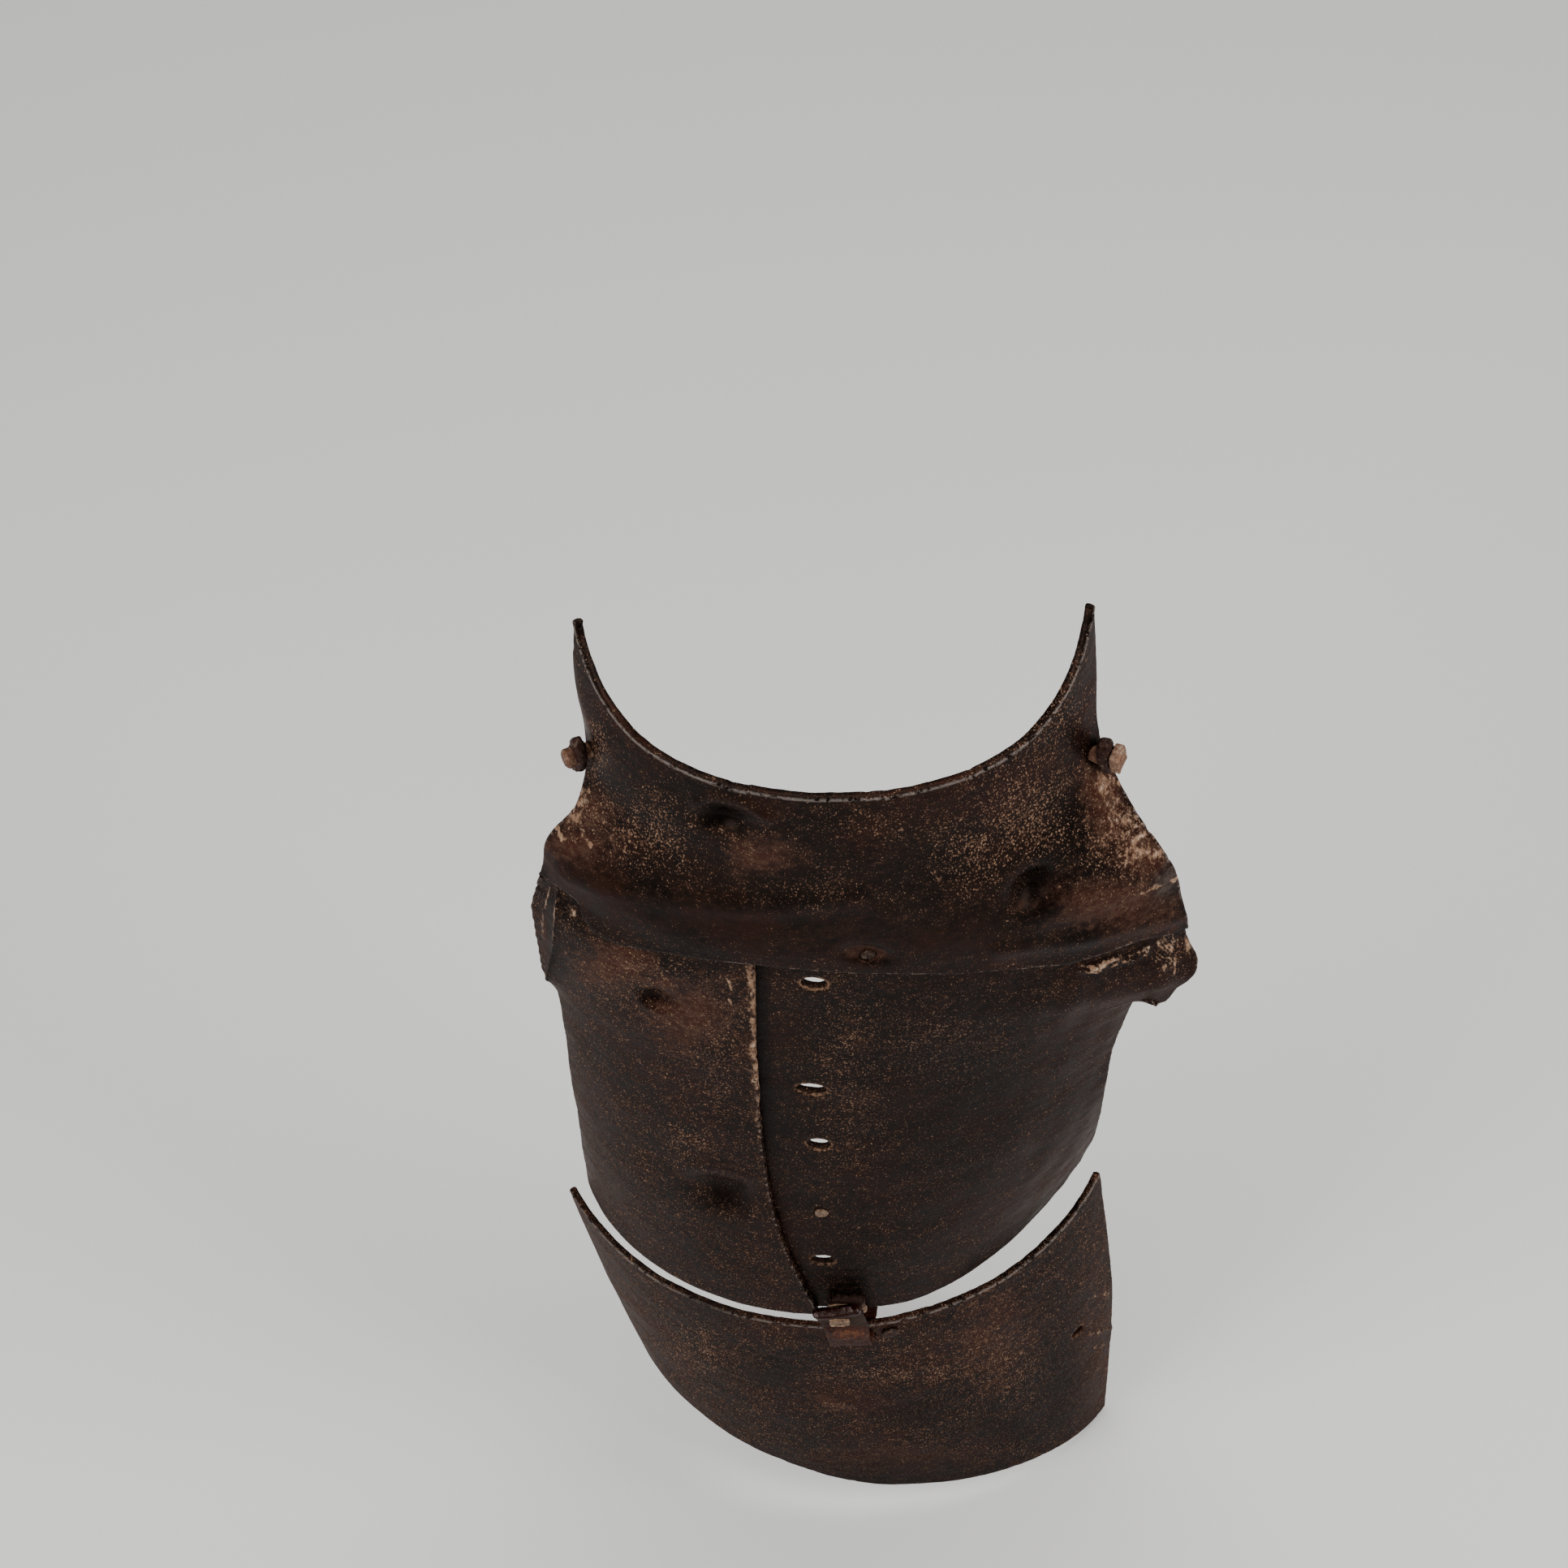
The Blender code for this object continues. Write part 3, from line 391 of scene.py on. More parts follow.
def shell(name, outer, thickness, marks, holes=(), seed=0, bulge=0.6, ragged=0.5 * MM):
    """A closed plate from its outer face's grid, rows going down and columns to the right.

    The cut edges are rounded and slightly ragged. Each hole is a centre, a radius and how much
    wider it is than tall. marks are numbers on the outer face's grid.
    """
    rows, columns = outer.shape[:2]
    normal = grid_normals(outer)
    outer = fray(outer, normal, bulge * thickness / 2, ragged, seed)
    keep = np.ones((rows - 1, columns - 1), bool)
    hole_mark = np.full((rows, columns), 1.0)
    for centre, radius, wide in holes:
        outer, gone, away = open_hole(outer, normal, np.array(centre), radius, wide)
        keep &= ~gone
        if radius >= OPEN_RADIUS and wide < SLOT_WIDE:
            hole_mark = np.minimum(hole_mark, away)
    inner = outer - normal * (thickness + 0.3 * MM * fuzz(outer, 15 * MM, seed + 20))[..., None]
    size = rows * columns
    ids = np.arange(size).reshape(rows, columns)
    li, lj = boundary(rows, columns)
    out = outward(outer, normal, li, lj)
    middle, half = (outer[li, lj] + inner[li, lj]) / 2, (outer[li, lj] - inner[li, lj]) / 2
    points, ring_ids = [outer.reshape(-1, 3), inner.reshape(-1, 3)], [ids[li, lj]]
    for ring in range(1, EDGE_RINGS):
        turn = math.pi * ring / EDGE_RINGS
        points.append(middle + half * math.cos(turn) + out * (thickness / 2 * bulge * math.sin(turn)))
        ring_ids.append(2 * size + (ring - 1) * len(li) + np.arange(len(li)))
    ring_ids.append(ids[li, lj] + size)
    a, b, c, d = ids[:-1, :-1][keep], ids[1:, :-1][keep], ids[1:, 1:][keep], ids[:-1, 1:][keep]
    faces = [np.stack((a, b, c, d), -1), np.stack((a, d, c, b), -1) + size]
    for i, j in np.argwhere(~keep):
        for ni, nj, p, q in ((i - 1, j, (i, j), (i, j + 1)), (i + 1, j, (i + 1, j + 1), (i + 1, j)),
                             (i, j - 1, (i + 1, j), (i, j)), (i, j + 1, (i, j + 1), (i + 1, j + 1))):
            if keep[ni, nj]:
                faces.append(np.array([(ids[p], ids[q], ids[q] + size, ids[p] + size)]))
    for low, high in zip(ring_ids, ring_ids[1:]):
        faces.append(np.stack((low, np.roll(low, -1), np.roll(high, -1), high), -1))
    top = np.linspace(1, 1 - TOP_FADE, rows)[:, None].clip(0, 1) * np.ones(columns)
    values = {"rim": np.minimum.reduce(rim_reach(outer)), "hole": hole_mark, "top": top}
    values.update({key: np.broadcast_to(value, (rows, columns)) for key, value in marks.items()})
    flat = {}
    for key, value in values.items():
        back = {"rim": value, "hole": value + thickness}.get(key, value * BACK_SHARE)
        round_edge = thickness / EDGE_RINGS if key == "rim" else 0
        between = [value[li, lj] + ring * round_edge for ring in range(1, EDGE_RINGS)]
        flat[key] = np.concatenate([value.ravel(), back.ravel()] + between)
    return add_mesh(name, np.concatenate(points), np.concatenate(faces).tolist(), flat)


LAP_LEVEL = (COLLAR_HEIGHT - COLLAR_LAP) / COLLAR_HEIGHT
LAP_SHARE = SEAM_LAP / (WAIST_HALF_WIDTH - SEAM_OFFSET)


# Materials
class Nodes:
    """Builds one material's nodes."""

    def __init__(self, name):
        self.material = bpy.data.materials.new(name)
        self.material.use_nodes = True
        self.tree = self.material.node_tree
        self.tree.nodes.clear()
        self.shader = self.node("ShaderNodeBsdfPrincipled")
        output = self.node("ShaderNodeOutputMaterial")
        self.link(self.shader.outputs[0], output.inputs["Surface"])
        self.place = self.node("ShaderNodeTexCoord").outputs["Object"]

    def node(self, kind, **settings):
        node = self.tree.nodes.new(kind)
        for key, value in settings.items():
            setattr(node, key, value)
        return node

    def link(self, source, target):
        self.tree.links.new(source, target)

    def feed(self, socket, value):
        if isinstance(value, bpy.types.NodeSocket):
            self.link(value, socket)
        else:
            socket.default_value = value

    def give(self, key, value):
        """Sets one value of the shader itself."""
        self.feed(self.shader.inputs[key], value)

    def mark(self, name):
        return self.node("ShaderNodeAttribute", attribute_name=name).outputs["Fac"]

    def stretched(self, scale):
        """The piece's own coordinates, scaled by axis."""
        if scale is None:
            return self.place
        mapping = self.node("ShaderNodeMapping")
        self.link(self.place, mapping.inputs["Vector"])
        mapping.inputs["Scale"].default_value = scale
        return mapping.outputs[0]

    def grain(self, size_mm, detail, rough, stretch=None, twist=0.0):
        """Noise from 0 to 1 whose lumps measure about size_mm."""
        noise_node = self.node("ShaderNodeTexNoise")
        self.link(self.stretched(stretch), noise_node.inputs["Vector"])
        noise_node.inputs["Scale"].default_value = 1000 / size_mm
        noise_node.inputs["Detail"].default_value = detail
        noise_node.inputs["Roughness"].default_value = rough
        noise_node.inputs["Distortion"].default_value = twist
        return noise_node.outputs["Fac"]

    def pits(self, size_mm, stretch=None):
        """How far each place is from the nearest of many scattered points, in cells of size_mm."""
        cells = self.node("ShaderNodeTexVoronoi")
        self.link(self.stretched(stretch), cells.inputs["Vector"])
        cells.inputs["Scale"].default_value = 1000 / size_mm
        return cells.outputs["Distance"]

    def calc(self, operation, a, b):
        node = self.node("ShaderNodeMath", operation=operation)
        self.feed(node.inputs[0], a)
        self.feed(node.inputs[1], b)
        return node.outputs[0]

    def add(self, a, b):
        return self.calc("ADD", a, b)

    def times(self, a, b):
        return self.calc("MULTIPLY", a, b)

    def most(self, a, b):
        return self.calc("MAXIMUM", a, b)

    def blend(self, *parts):
        """Adds values up, each times its share."""
        total = self.times(*parts[0])
        for part in parts[1:]:
            total = self.add(total, self.times(*part))
        return total

    def shaken(self, value, grain, reach):
        """A value with a grain added, by up to half the reach up or down."""
        return self.add(value, self.times(self.add(grain, -0.5), reach))

    def step(self, value, low, high, start=0.0, end=1.0):
        """Goes smoothly from start to end as value goes from low to high."""
        node = self.node("ShaderNodeMapRange", interpolation_type="SMOOTHSTEP")
        self.feed(node.inputs["Value"], value)
        for key, number in (("From Min", low), ("From Max", high), ("To Min", start), ("To Max", end)):
            node.inputs[key].default_value = number
        return node.outputs[0]

    def mix(self, share, a, b):
        node = self.node("ShaderNodeMix", data_type="RGBA")
        self.feed(node.inputs[0], share)
        for socket, value in ((node.inputs[6], a), (node.inputs[7], b)):
            self.feed(socket, value if isinstance(value, bpy.types.NodeSocket) else (*value, 1.0))
        return node.outputs[2]

    def bump(self, height, reach_mm, strength, normal=None):
        node = self.node("ShaderNodeBump")
        node.inputs["Strength"].default_value = strength
        node.inputs["Distance"].default_value = reach_mm * MM
        self.link(height, node.inputs["Height"])
        if normal:
            self.link(normal, node.inputs["Normal"])
        return node.outputs[0]


BLACKENED, UMBER, RED_RUST = (0.0055, 0.0036, 0.0030), (0.0175, 0.0105, 0.0076), (0.038, 0.0105, 0.0053)
EARTH, TAN, PALE_TAN = (0.058, 0.027, 0.0165), (0.24, 0.138, 0.084), (0.50, 0.36, 0.26)
# The next line holds a painted sheen grey, and a bright rim colour that is rim wear and partly painted
# highlight.
PAINTED_SHEEN_GREY, RIM_WEAR_AND_HIGHLIGHT = (0.105, 0.085, 0.076), (0.21, 0.175, 0.155)
# The first two colours on the next line are painted shade: near black on the plates, which also draws the
# neck's crack line, and dark brown on rust.
SHADE_AND_CRACK_BLACK, PAINTED_SHADE_BROWN, HOOK_BROWN = (0.004, 0.0025, 0.0022), (0.012, 0.006, 0.005), (0.045, 0.030, 0.024)
ORANGE_RUST, WET_RED = (0.15, 0.046, 0.015), (0.012, 0.0024, 0.0018)
EDGE_TINT = (0.44, 0.34, 0.30, 1)
PLATE_IOR_LEVEL, RUST_IOR_LEVEL = 0.17, 0.25


def plate_material(name, red, speckle, gloss, brown=0.0):
    """Old burnished iron: near black, mottled brown, red in the hollows, tan flecks, rubbed rims that along
    the top rim are partly painted highlight, and painted shade and painted sheen where the marks lay them.
    """
    n = Nodes(name)
    cloud, mottle = n.grain(60, 4, 0.6), n.grain(20, 6, 0.68)
    fine, grit = n.grain(4.5, 5, 0.7), n.grain(1.0, 3, 0.65)
    flake = n.grain(2.0, 4, 0.70, stretch=(1.0, 1.0, 0.6))
    streak = n.grain(5, 5, 0.7, stretch=(0.10, 0.10, 1.0))
    dragged = n.grain(3.2, 5, 0.72, stretch=(1.0, 1.0, 0.4), twist=0.6)
    fleck, patchy = n.mark("fleck"), n.blend((mottle, 0.55), (fine, 0.45))
    colour = n.mix(n.step(patchy, 0.38, 0.64), BLACKENED, UMBER)
    colour = n.mix(n.times(n.step(streak, 0.50, 0.72), 0.35), colour, UMBER)
    reddish = n.step(n.blend((cloud, 0.7), (fine, 0.3)), 0.44, 0.62)
    colour = n.mix(n.times(reddish, red), colour, RED_RUST)
    colour = n.mix(n.times(n.step(fine, 0.46, 0.60), brown), colour, EARTH)
    earthy = n.shaken(n.mark("rust"), patchy, 2.0)
    colour = n.mix(n.step(earthy, 0.20, 1.00), colour, n.mix(n.step(fine, 0.42, 0.6), RED_RUST, EARTH))
    crowd = n.shaken(n.shaken(n.times(fleck, 0.30), fine, 0.70), mottle, 0.55)
    dots = n.shaken(n.pits(1.2, (1.0, 1.0, 0.65)), grit, 0.6)
    flecks = n.step(n.add(dots, n.times(crowd, -1.0)), 0.08, 0.26, 1.0, 0.0)
    colour = n.mix(flecks, colour, n.mix(n.step(n.add(flake, n.times(fleck, 0.10)), 0.50, 0.70), EARTH, TAN))
    specks = n.times(n.step(grit, 0.66, 0.76), n.step(mottle, 0.42, 0.60))
    colour = n.mix(n.times(specks, speckle), colour, TAN)
    # Rims rubbed bright, commoner along the top rim, where they also stand in for its highlight: partly
    # painted highlight.
    often = n.step(n.add(fine, n.times(n.mark("top"), 0.10)), 0.50, 0.62)
    rim_wear_and_highlight = n.times(n.step(n.shaken(n.mark("rim"), fine, 0.003), 0.0003, 0.0016, 1.0, 0.0), often)
    hole_wear = n.step(n.shaken(n.mark("hole"), fine, 0.004), 0.0004, 0.0018, 1.0, 0.0)
    hole_wear = n.times(hole_wear, n.step(flake, 0.44, 0.58))
    # Painted sheen: grey on a smooth area and on the flange glints, where its mark lies.
    sheen_share = n.times(n.step(n.shaken(n.mark("worn"), fine, 1.0), 0.30, 1.0), 0.7)
    colour = n.mix(sheen_share, colour, PAINTED_SHEEN_GREY)
    colour = n.mix(n.times(rim_wear_and_highlight, 0.8), colour, RIM_WEAR_AND_HIGHLIGHT)
    colour = n.mix(n.times(hole_wear, 0.85), colour, TAN)
    pale = n.step(n.shaken(n.shaken(n.mark("pale"), dragged, 2.4), flake, 1.0), 0.45, 0.95)
    colour = n.mix(pale, colour, n.mix(n.step(fine, 0.48, 0.70), TAN, PALE_TAN))
    # Painted shade: the dark mark blends toward near black in dents, recesses and shaded zones; on the neck
    # it also draws the crack's dark line.
    n.give("Base Color", n.mix(n.times(n.mark("dark"), 0.9), colour, SHADE_AND_CRACK_BLACK))
    rough = n.step(n.blend((patchy, 0.7), (streak, 0.3)), 0.38, 0.66, gloss - 0.06, gloss + 0.14)
    rough = n.add(rough, n.times(n.most(flecks, n.step(earthy, 0.3, 1.0)), 0.24))
    n.give("Roughness", n.calc("MINIMUM", n.add(rough, n.times(pale, 0.2)), 0.92))
    covered = n.most(n.most(flecks, pale), n.times(earthy, 0.7))
    n.give("Metallic", n.step(covered, 0.15, 0.9, 0.60, 0.05))
    n.give("Specular Tint", EDGE_TINT)
    n.give("Specular IOR Level", PLATE_IOR_LEVEL)
    raised = n.blend((fine, 0.5), (grit, 0.2), (flecks, 0.22), (n.step(n.pits(3.6), 0.0, 0.30), 0.22))
    lumps = n.bump(n.add(mottle, n.times(streak, 0.35)), 0.8, 0.45)
    n.give("Normal", n.bump(raised, 0.30, 0.75, lumps))
    return n.material


def roughen(n, mottle, fine, grit):
    """The bumps and the tint of rough iron."""
    n.give("Specular Tint", EDGE_TINT)
    height = n.blend((fine, 0.6), (grit, 0.3))
    n.give("Normal", n.bump(height, 0.35, 0.8, n.bump(mottle, 0.8, 0.6)))


def rust_material(name, low, high, light, metal=0.15):
    """Rough red-brown rust, from low to high, with light specks where it's rubbed, and painted shade where
    the dark mark is.
    """
    n = Nodes(name)
    mottle, fine, grit = n.grain(9, 5, 0.65), n.grain(2.4, 5, 0.7), n.grain(0.8, 3, 0.6)
    patchy = n.blend((mottle, 0.55), (fine, 0.45))
    colour = n.mix(n.step(patchy, 0.36, 0.66), low, high)
    colour = n.mix(n.step(patchy, 0.30, 0.46, 1.0, 0.0), colour, BLACKENED)
    colour = n.mix(n.times(n.step(n.add(fine, n.times(grit, 0.4)), 0.72, 0.92), light), colour, PALE_TAN)
    colour = n.mix(n.times(n.mark("pale"), 0.9), colour, n.mix(n.step(fine, 0.4, 0.6), TAN, PALE_TAN))
    # Painted shade where the dark mark is, as on the pad's top.
    n.give("Base Color", n.mix(n.times(n.mark("dark"), 0.85), colour, PAINTED_SHADE_BROWN))
    n.give("Roughness", n.step(patchy, 0.3, 0.7, 0.38, 0.72))
    n.give("Metallic", metal)
    n.give("Specular IOR Level", RUST_IOR_LEVEL)
    roughen(n, mottle, fine, grit)
    return n.material


def hook_material():
    """The hook: wet dark red lip, grey-brown face, and orange rust on the lower half."""
    n = Nodes("hook_iron")
    mottle, fine, grit = n.grain(8, 5, 0.65), n.grain(2.2, 5, 0.7), n.grain(0.8, 3, 0.6)
    patchy = n.blend((mottle, 0.5), (fine, 0.5))
    colour = n.mix(n.step(patchy, 0.38, 0.62), UMBER, HOOK_BROWN)
    rusty = n.mix(n.step(patchy, 0.36, 0.56), WET_RED, RED_RUST)
    glow = n.step(n.shaken(n.mark("pale"), fine, 3.2), 0.60, 1.15)
    rusty = n.mix(n.times(glow, n.step(grit, 0.36, 0.52)), rusty, ORANGE_RUST)
    rust = n.step(n.shaken(n.mark("rust"), fine, 0.5), 0.35, 0.65)
    lip = n.step(n.shaken(n.mark("lip"), fine, 0.4), 0.35, 0.60)
    colour = n.mix(lip, n.mix(rust, colour, rusty), WET_RED)
    n.give("Base Color", n.mix(n.times(n.step(grit, 0.66, 0.78), 0.8), colour, TAN))
    rough = n.mix(rust, n.step(patchy, 0.3, 0.7, 0.36, 0.62), (0.66, 0.66, 0.66))
    n.give("Roughness", n.mix(lip, rough, (0.16, 0.16, 0.16)))
    n.give("Metallic", n.step(n.most(rust, lip), 0.2, 0.8, 0.4, 0.0))
    n.give("Specular IOR Level", n.step(lip, 0.2, 0.8, 0.14, 0.75))
    roughen(n, mottle, fine, grit)
    return n.material


# The plates
UNEVEN, HAMMER_MARKS = 0.55 * MM, 0.16 * MM


def hammered(points, seed):
    """Old hand-worked plate: slightly uneven, with shallow hammer marks."""
    return fuzz(points, 62 * MM, seed, 2) * UNEVEN + fuzz(points, 17 * MM, seed + 3, 3) * HAMMER_MARKS


def columns_of(left_count, right_count, start=-1.0):
    left = np.linspace(start, 0, left_count)
    return np.concatenate((left, np.linspace(0, 1, right_count)[1:]))


def plate(name, place, columns, levels, marks_of, material, holes, seed, bulge, thickness=PLATE,
          body="breastplate"):
    """A plate on the surface that place gives, with its marks, hammered and made thick."""
    if np.ndim(levels) == 1:
        levels = np.repeat(levels[:, None], len(columns), axis=1)
    outer = place(np.broadcast_to(columns, levels.shape), levels)
    marks, push = marks_of(outer)
    outer = outer - grid_normals(outer) * (push + hammered(outer, seed))[..., None]
    dress(shell(name, outer, thickness, marks, holes, seed, bulge), name, material, body)


# Marks on the plates, by the photograph's pixels. A spot is its centre, half width, half height and turn.
# A dent has its depth in mm too. A ridge is a line, its width in pixels and its depth in mm
NECK_LOWER_EDGE = (
    (640, 1070), (665, 1079), (680, 1088), (711, 1112), (715, 1131), (728, 1151), (760, 1166), (813, 1175),
    (867, 1184), (936, 1192), (1000, 1198), (1060, 1202), (1177, 1202), (1250, 1197), (1318, 1191),
    (1334, 1186), (1360, 1178), (1400, 1162), (1440, 1154), (1465, 1145), (1490, 1140))
NECK_FLECKS = ((723, 1005, 55, 42, 20), (735, 930, 18, 70), (1268, 1000, 85, 95, 25), (1385, 1040, 75, 90),
               (800, 1030, 70, 60, -20), (1300, 880, 35, 90, -15), (1200, 1050, 60, 60))
NECK_FAINT_FLECKS = ((930, 1040, 60, 40), (1080, 1010, 160, 40), (990, 1100, 120, 40))
BOLT_PLACE = (1068, 1178, 30, 11, -6, 5.0)
NECK_RUST = ((710, 1040, 55, 26), (1372, 1112, 95, 44), (1362, 985, 38, 60, 15), (720, 1000, 42, 36),
             (1410, 1055, 50, 40), (935, 1055, 46, 26))
NECK_FLAKING = (1360, 975, 34, 44, 15)
NECK_PALE = ((1362, 965, 20, 40, 15), (1382, 1010, 24, 28, 30), (1400, 1050, 36, 22, 20),
             (716, 982, 12, 22, -30), (706, 1005, 18, 14))
NECK_STROKES = (((684, 1018), (694, 1036)), ((716, 1028), (728, 1042)), ((724, 975), (712, 990)),
                ((1393, 1041), (1414, 1024)), ((1420, 1056), (1437, 1049)), ((1407, 1102), (1453, 1082)),
                ((1386, 952), (1376, 962)))
# A smooth area with few flecks, where a grey painted sheen is laid.
NECK_SMOOTH = ((1440, 1085, 22, 40, -25),)
NECK_SHEEN = ((690, 1080), (790, 1118), (930, 1140), (1060, 1152), (1200, 1160))
# Painted shade in the hollows of two dents.
NECK_DENT_SHADE = ((889, 1008, 27, 10, -6), (1277, 1092, 34, 17, 38))
NECK_DENTS = ((889, 1009, 28, 11, -6, 3.0), (1277, 1092, 36, 19, 38, 5.0), (1180, 1030, 90, 34, 10, 1.2),
              (1068, 1174, 34, 12, -6, 1.0))
NECK_RIDGES = ((((858, 990), (880, 982), (910, 988), (945, 1008)), 7, -1.3),
               (((690, 1080), (760, 1098), (850, 1114), (960, 1118), (1060, 1108)), 15, -1.6),
               (((1230, 1172), (1330, 1160), (1400, 1142), (1462, 1128)), 9, -1.6),
               (((1300, 1150), (1400, 1118), (1450, 1100)), 14, 1.5))
CRACK = ((1178, 1203), (1240, 1201), (1300, 1196), (1330, 1189))
LAMINATION = ((1330, 1191), (1350, 1191), (1365, 1184), (1392, 1179), (1412, 1169))
LEFT_CREASE = ((688, 1085), (685, 1120), (681, 1175), (672, 1212))
LEFT_RUST = ((818, 1212, 24, 12), (760, 1190, 60, 40), (850, 1250, 60, 50), (668, 1160, 8, 30))
LEFT_FLECKS = ((790, 1210, 110, 60), (880, 1300, 60, 130), (700, 1130, 12, 26), (850, 1400, 60, 40))
LEFT_STRIPS = (((699, 1102), (704, 1128)), ((705, 1110), (711, 1140)), ((893, 1200), (902, 1218)),
               ((898, 1232), (903, 1240)))
LEFT_DENTS = ((806, 1230, 20, 9, -18, 2.0), (897, 1470, 34, 20, 0, 3.0))
# Painted shade in two dents and on the turned-back flange.
LEFT_PAINTED_SHADE = ((806, 1229, 15, 6, -18), (899, 1472, 30, 19), (677, 1150, 11, 50, 4))
# Painted highlights on the turned-back flange, laid as pale and as painted sheen.
FLANGE_GLINTS = (((672, 1094), (664, 1128)), ((662, 1135), (664, 1172)), ((684, 1110), (680, 1165)))
LEFT_RIDGES = ((((783, 1222), (795, 1238), (815, 1246), (832, 1241)), 5, -1.0),
               (((850, 1440), (880, 1440), (920, 1452)), 8, -1.0))
RIGHT_FLECKS = ((1050, 1320, 70, 170), (1448, 1180, 30, 40), (1150, 1290, 120, 70))
RIGHT_RUST = ((1045, 1330, 50, 140), (1450, 1185, 26, 40), (1030, 1590, 30, 8), (1450, 1160, 20, 12))
# Shifts of the side edges: pixels down the photograph, then pixels moved to the right and down
LOBE_SHIFTS = ((1205, 0, 0), (1213, 0, 3), (1218, 2, 14), (1223, 0, 14), (1228, 0, 0), (1234, 0, -11),
               (1240, -2, -15), (1250, -1, -9), (1264, 0, 0))
FLANGE_SHIFTS = ((1084, 0, 0), (1100, -9, 0), (1130, -20, 0), (1162, -21, 0), (1195, -16, 0), (1210, -5, 0),
                 (1220, 0, 0))
PX_PER_MM_ACROSS, PX_PER_MM_DOWN, CREASE_PX_PER_MM = 2.09, 1.12, 2.1
# Where marks begin and end, by pixels down or, for the flutes' start, across
FLANGE_TOP, FLANGE_FOOT = (1080, 1100), (1205, 1222)
LEFT_SEAM_FADE, RIGHT_SEAM_FADE = (1330, 1480), (1330, 1500)
FLUTES_START, FLUTES_END = (1130, 1260), (1420, 1520)
HOOK_RUST_START = (1631, 1638)
RIGHT_PALE = ((1036, 1603, 26, 3), (1466, 1163, 5, 12))
RIGHT_STREAKS = (((1440, 1155), (1434, 1195)), ((1452, 1158), (1447, 1200)), ((1428, 1160), (1424, 1185)),
                 ((1446, 1152), (1441, 1186)), ((1434, 1158), (1430, 1180)))
# Painted shade above the hook and over wide zones of the right plate.
RIGHT_HOOK_SHADE = ((1033, 1590, 26, 6),)
RIGHT_PAINTED_SHADE = ((1180, 1320, 150, 120), (1040, 1560, 60, 40))
SEAM_SHADOW = ((935, 1190), (936, 1260), (946, 1400), (964, 1480))
FINE_LINE = ((992, 1568), (1092, 1568))
APRON_FLECKS = ((1100, 1692, 190, 24), (1250, 1680, 110, 100), (860, 1660, 60, 70))
APRON_RUST = ((1352, 1690, 34, 130), (1022, 1728, 46, 9, -18), (1230, 1660, 70, 70), (1100, 1800, 160, 26))
# Painted shade over zones of the apron, widest along its bottom.
APRON_PAINTED_SHADE = ((1100, 1818, 280, 34), (1310, 1700, 50, 90), (1130, 1740, 50, 20, 10),
              (960, 1690, 40, 24), (1240, 1760, 50, 26), (880, 1600, 50, 30))
APRON_WELD = ((1338, 1646), (1350, 1642), (1370, 1635))
APRON_STREAKS = (((1344, 1600), (1368, 1592)), ((1345, 1660), (1368, 1656)), ((1340, 1690), (1366, 1684)))


# Sizes of the marks
FLAKE_HEIGHT, BOLT_SINK, LINE_DEPTH, FLUTE_DEPTH = 0.7 * MM, 2 * MM, 0.5 * MM, 1.3 * MM
TOOTH_SPACING, TOOTH_REACH, TOOTH_DEPTH = MM / 1.9, 4 * MM, 0.45 * MM
CREASE_DEPTH, SEAM_WEAR, EDGE_BLEND = 0.6 * MM, 5 * MM, 10 * MM


def dented(photo, rows):
    """Pushes inwards, from pixel spots with a depth in mm."""
    return sum(photo.spot(*row[:5]) * row[5] * MM for row in rows)


def ridged(photo, rows):
    return sum(photo.line(points, width) * depth * MM for points, width, depth in rows)


def strokes(photo, lines, width, outer):
    """Pale scratches, broken up along their length."""
    broken = 0.8 + 0.7 * fuzz(outer, 5 * MM, 55, 3)
    return np.clip(np.max([photo.line(points, width) for points in lines], axis=0) * broken, 0, 1)


def neck_marks(outer):
    photo = Photo(outer)
    flaking = ramp(fuzz(outer, 7 * MM, 52, 4), -0.1, 0.5) * photo.spot(*NECK_FLAKING) * FLAKE_HEIGHT
    sunk = photo.spot(*BOLT_PLACE)
    push = dented(photo, NECK_DENTS) + ridged(photo, NECK_RIDGES) - flaking + sunk * BOLT_SINK
    fleck = np.maximum(0.80 * photo.spots(*NECK_FLECKS), 0.4 * photo.spots(*NECK_FAINT_FLECKS))
    # The smooth area gets fewer flecks and a painted sheen.
    smooth = photo.spots(*NECK_SMOOTH)
    fleck = np.maximum(fleck, 0.14) * (1 - 0.8 * smooth) - 0.35 * photo.line(NECK_SHEEN, 26)
    pale = np.maximum(0.72 * photo.spots(*NECK_PALE), 1.2 * strokes(photo, NECK_STROKES, 3.4, outer))
    # Painted shade in the dents and round the sunk bolt, with the crack's dark line.
    dark = np.maximum.reduce((photo.spots(*NECK_DENT_SHADE), photo.line(CRACK, 2), 0.25 * sunk))
    return {"rust": np.maximum(photo.spots(*NECK_RUST), 0.9 * sunk), "fleck": fleck * (1 - sunk),
            "pale": pale, "worn": 0.7 * smooth, "dark": dark}, push


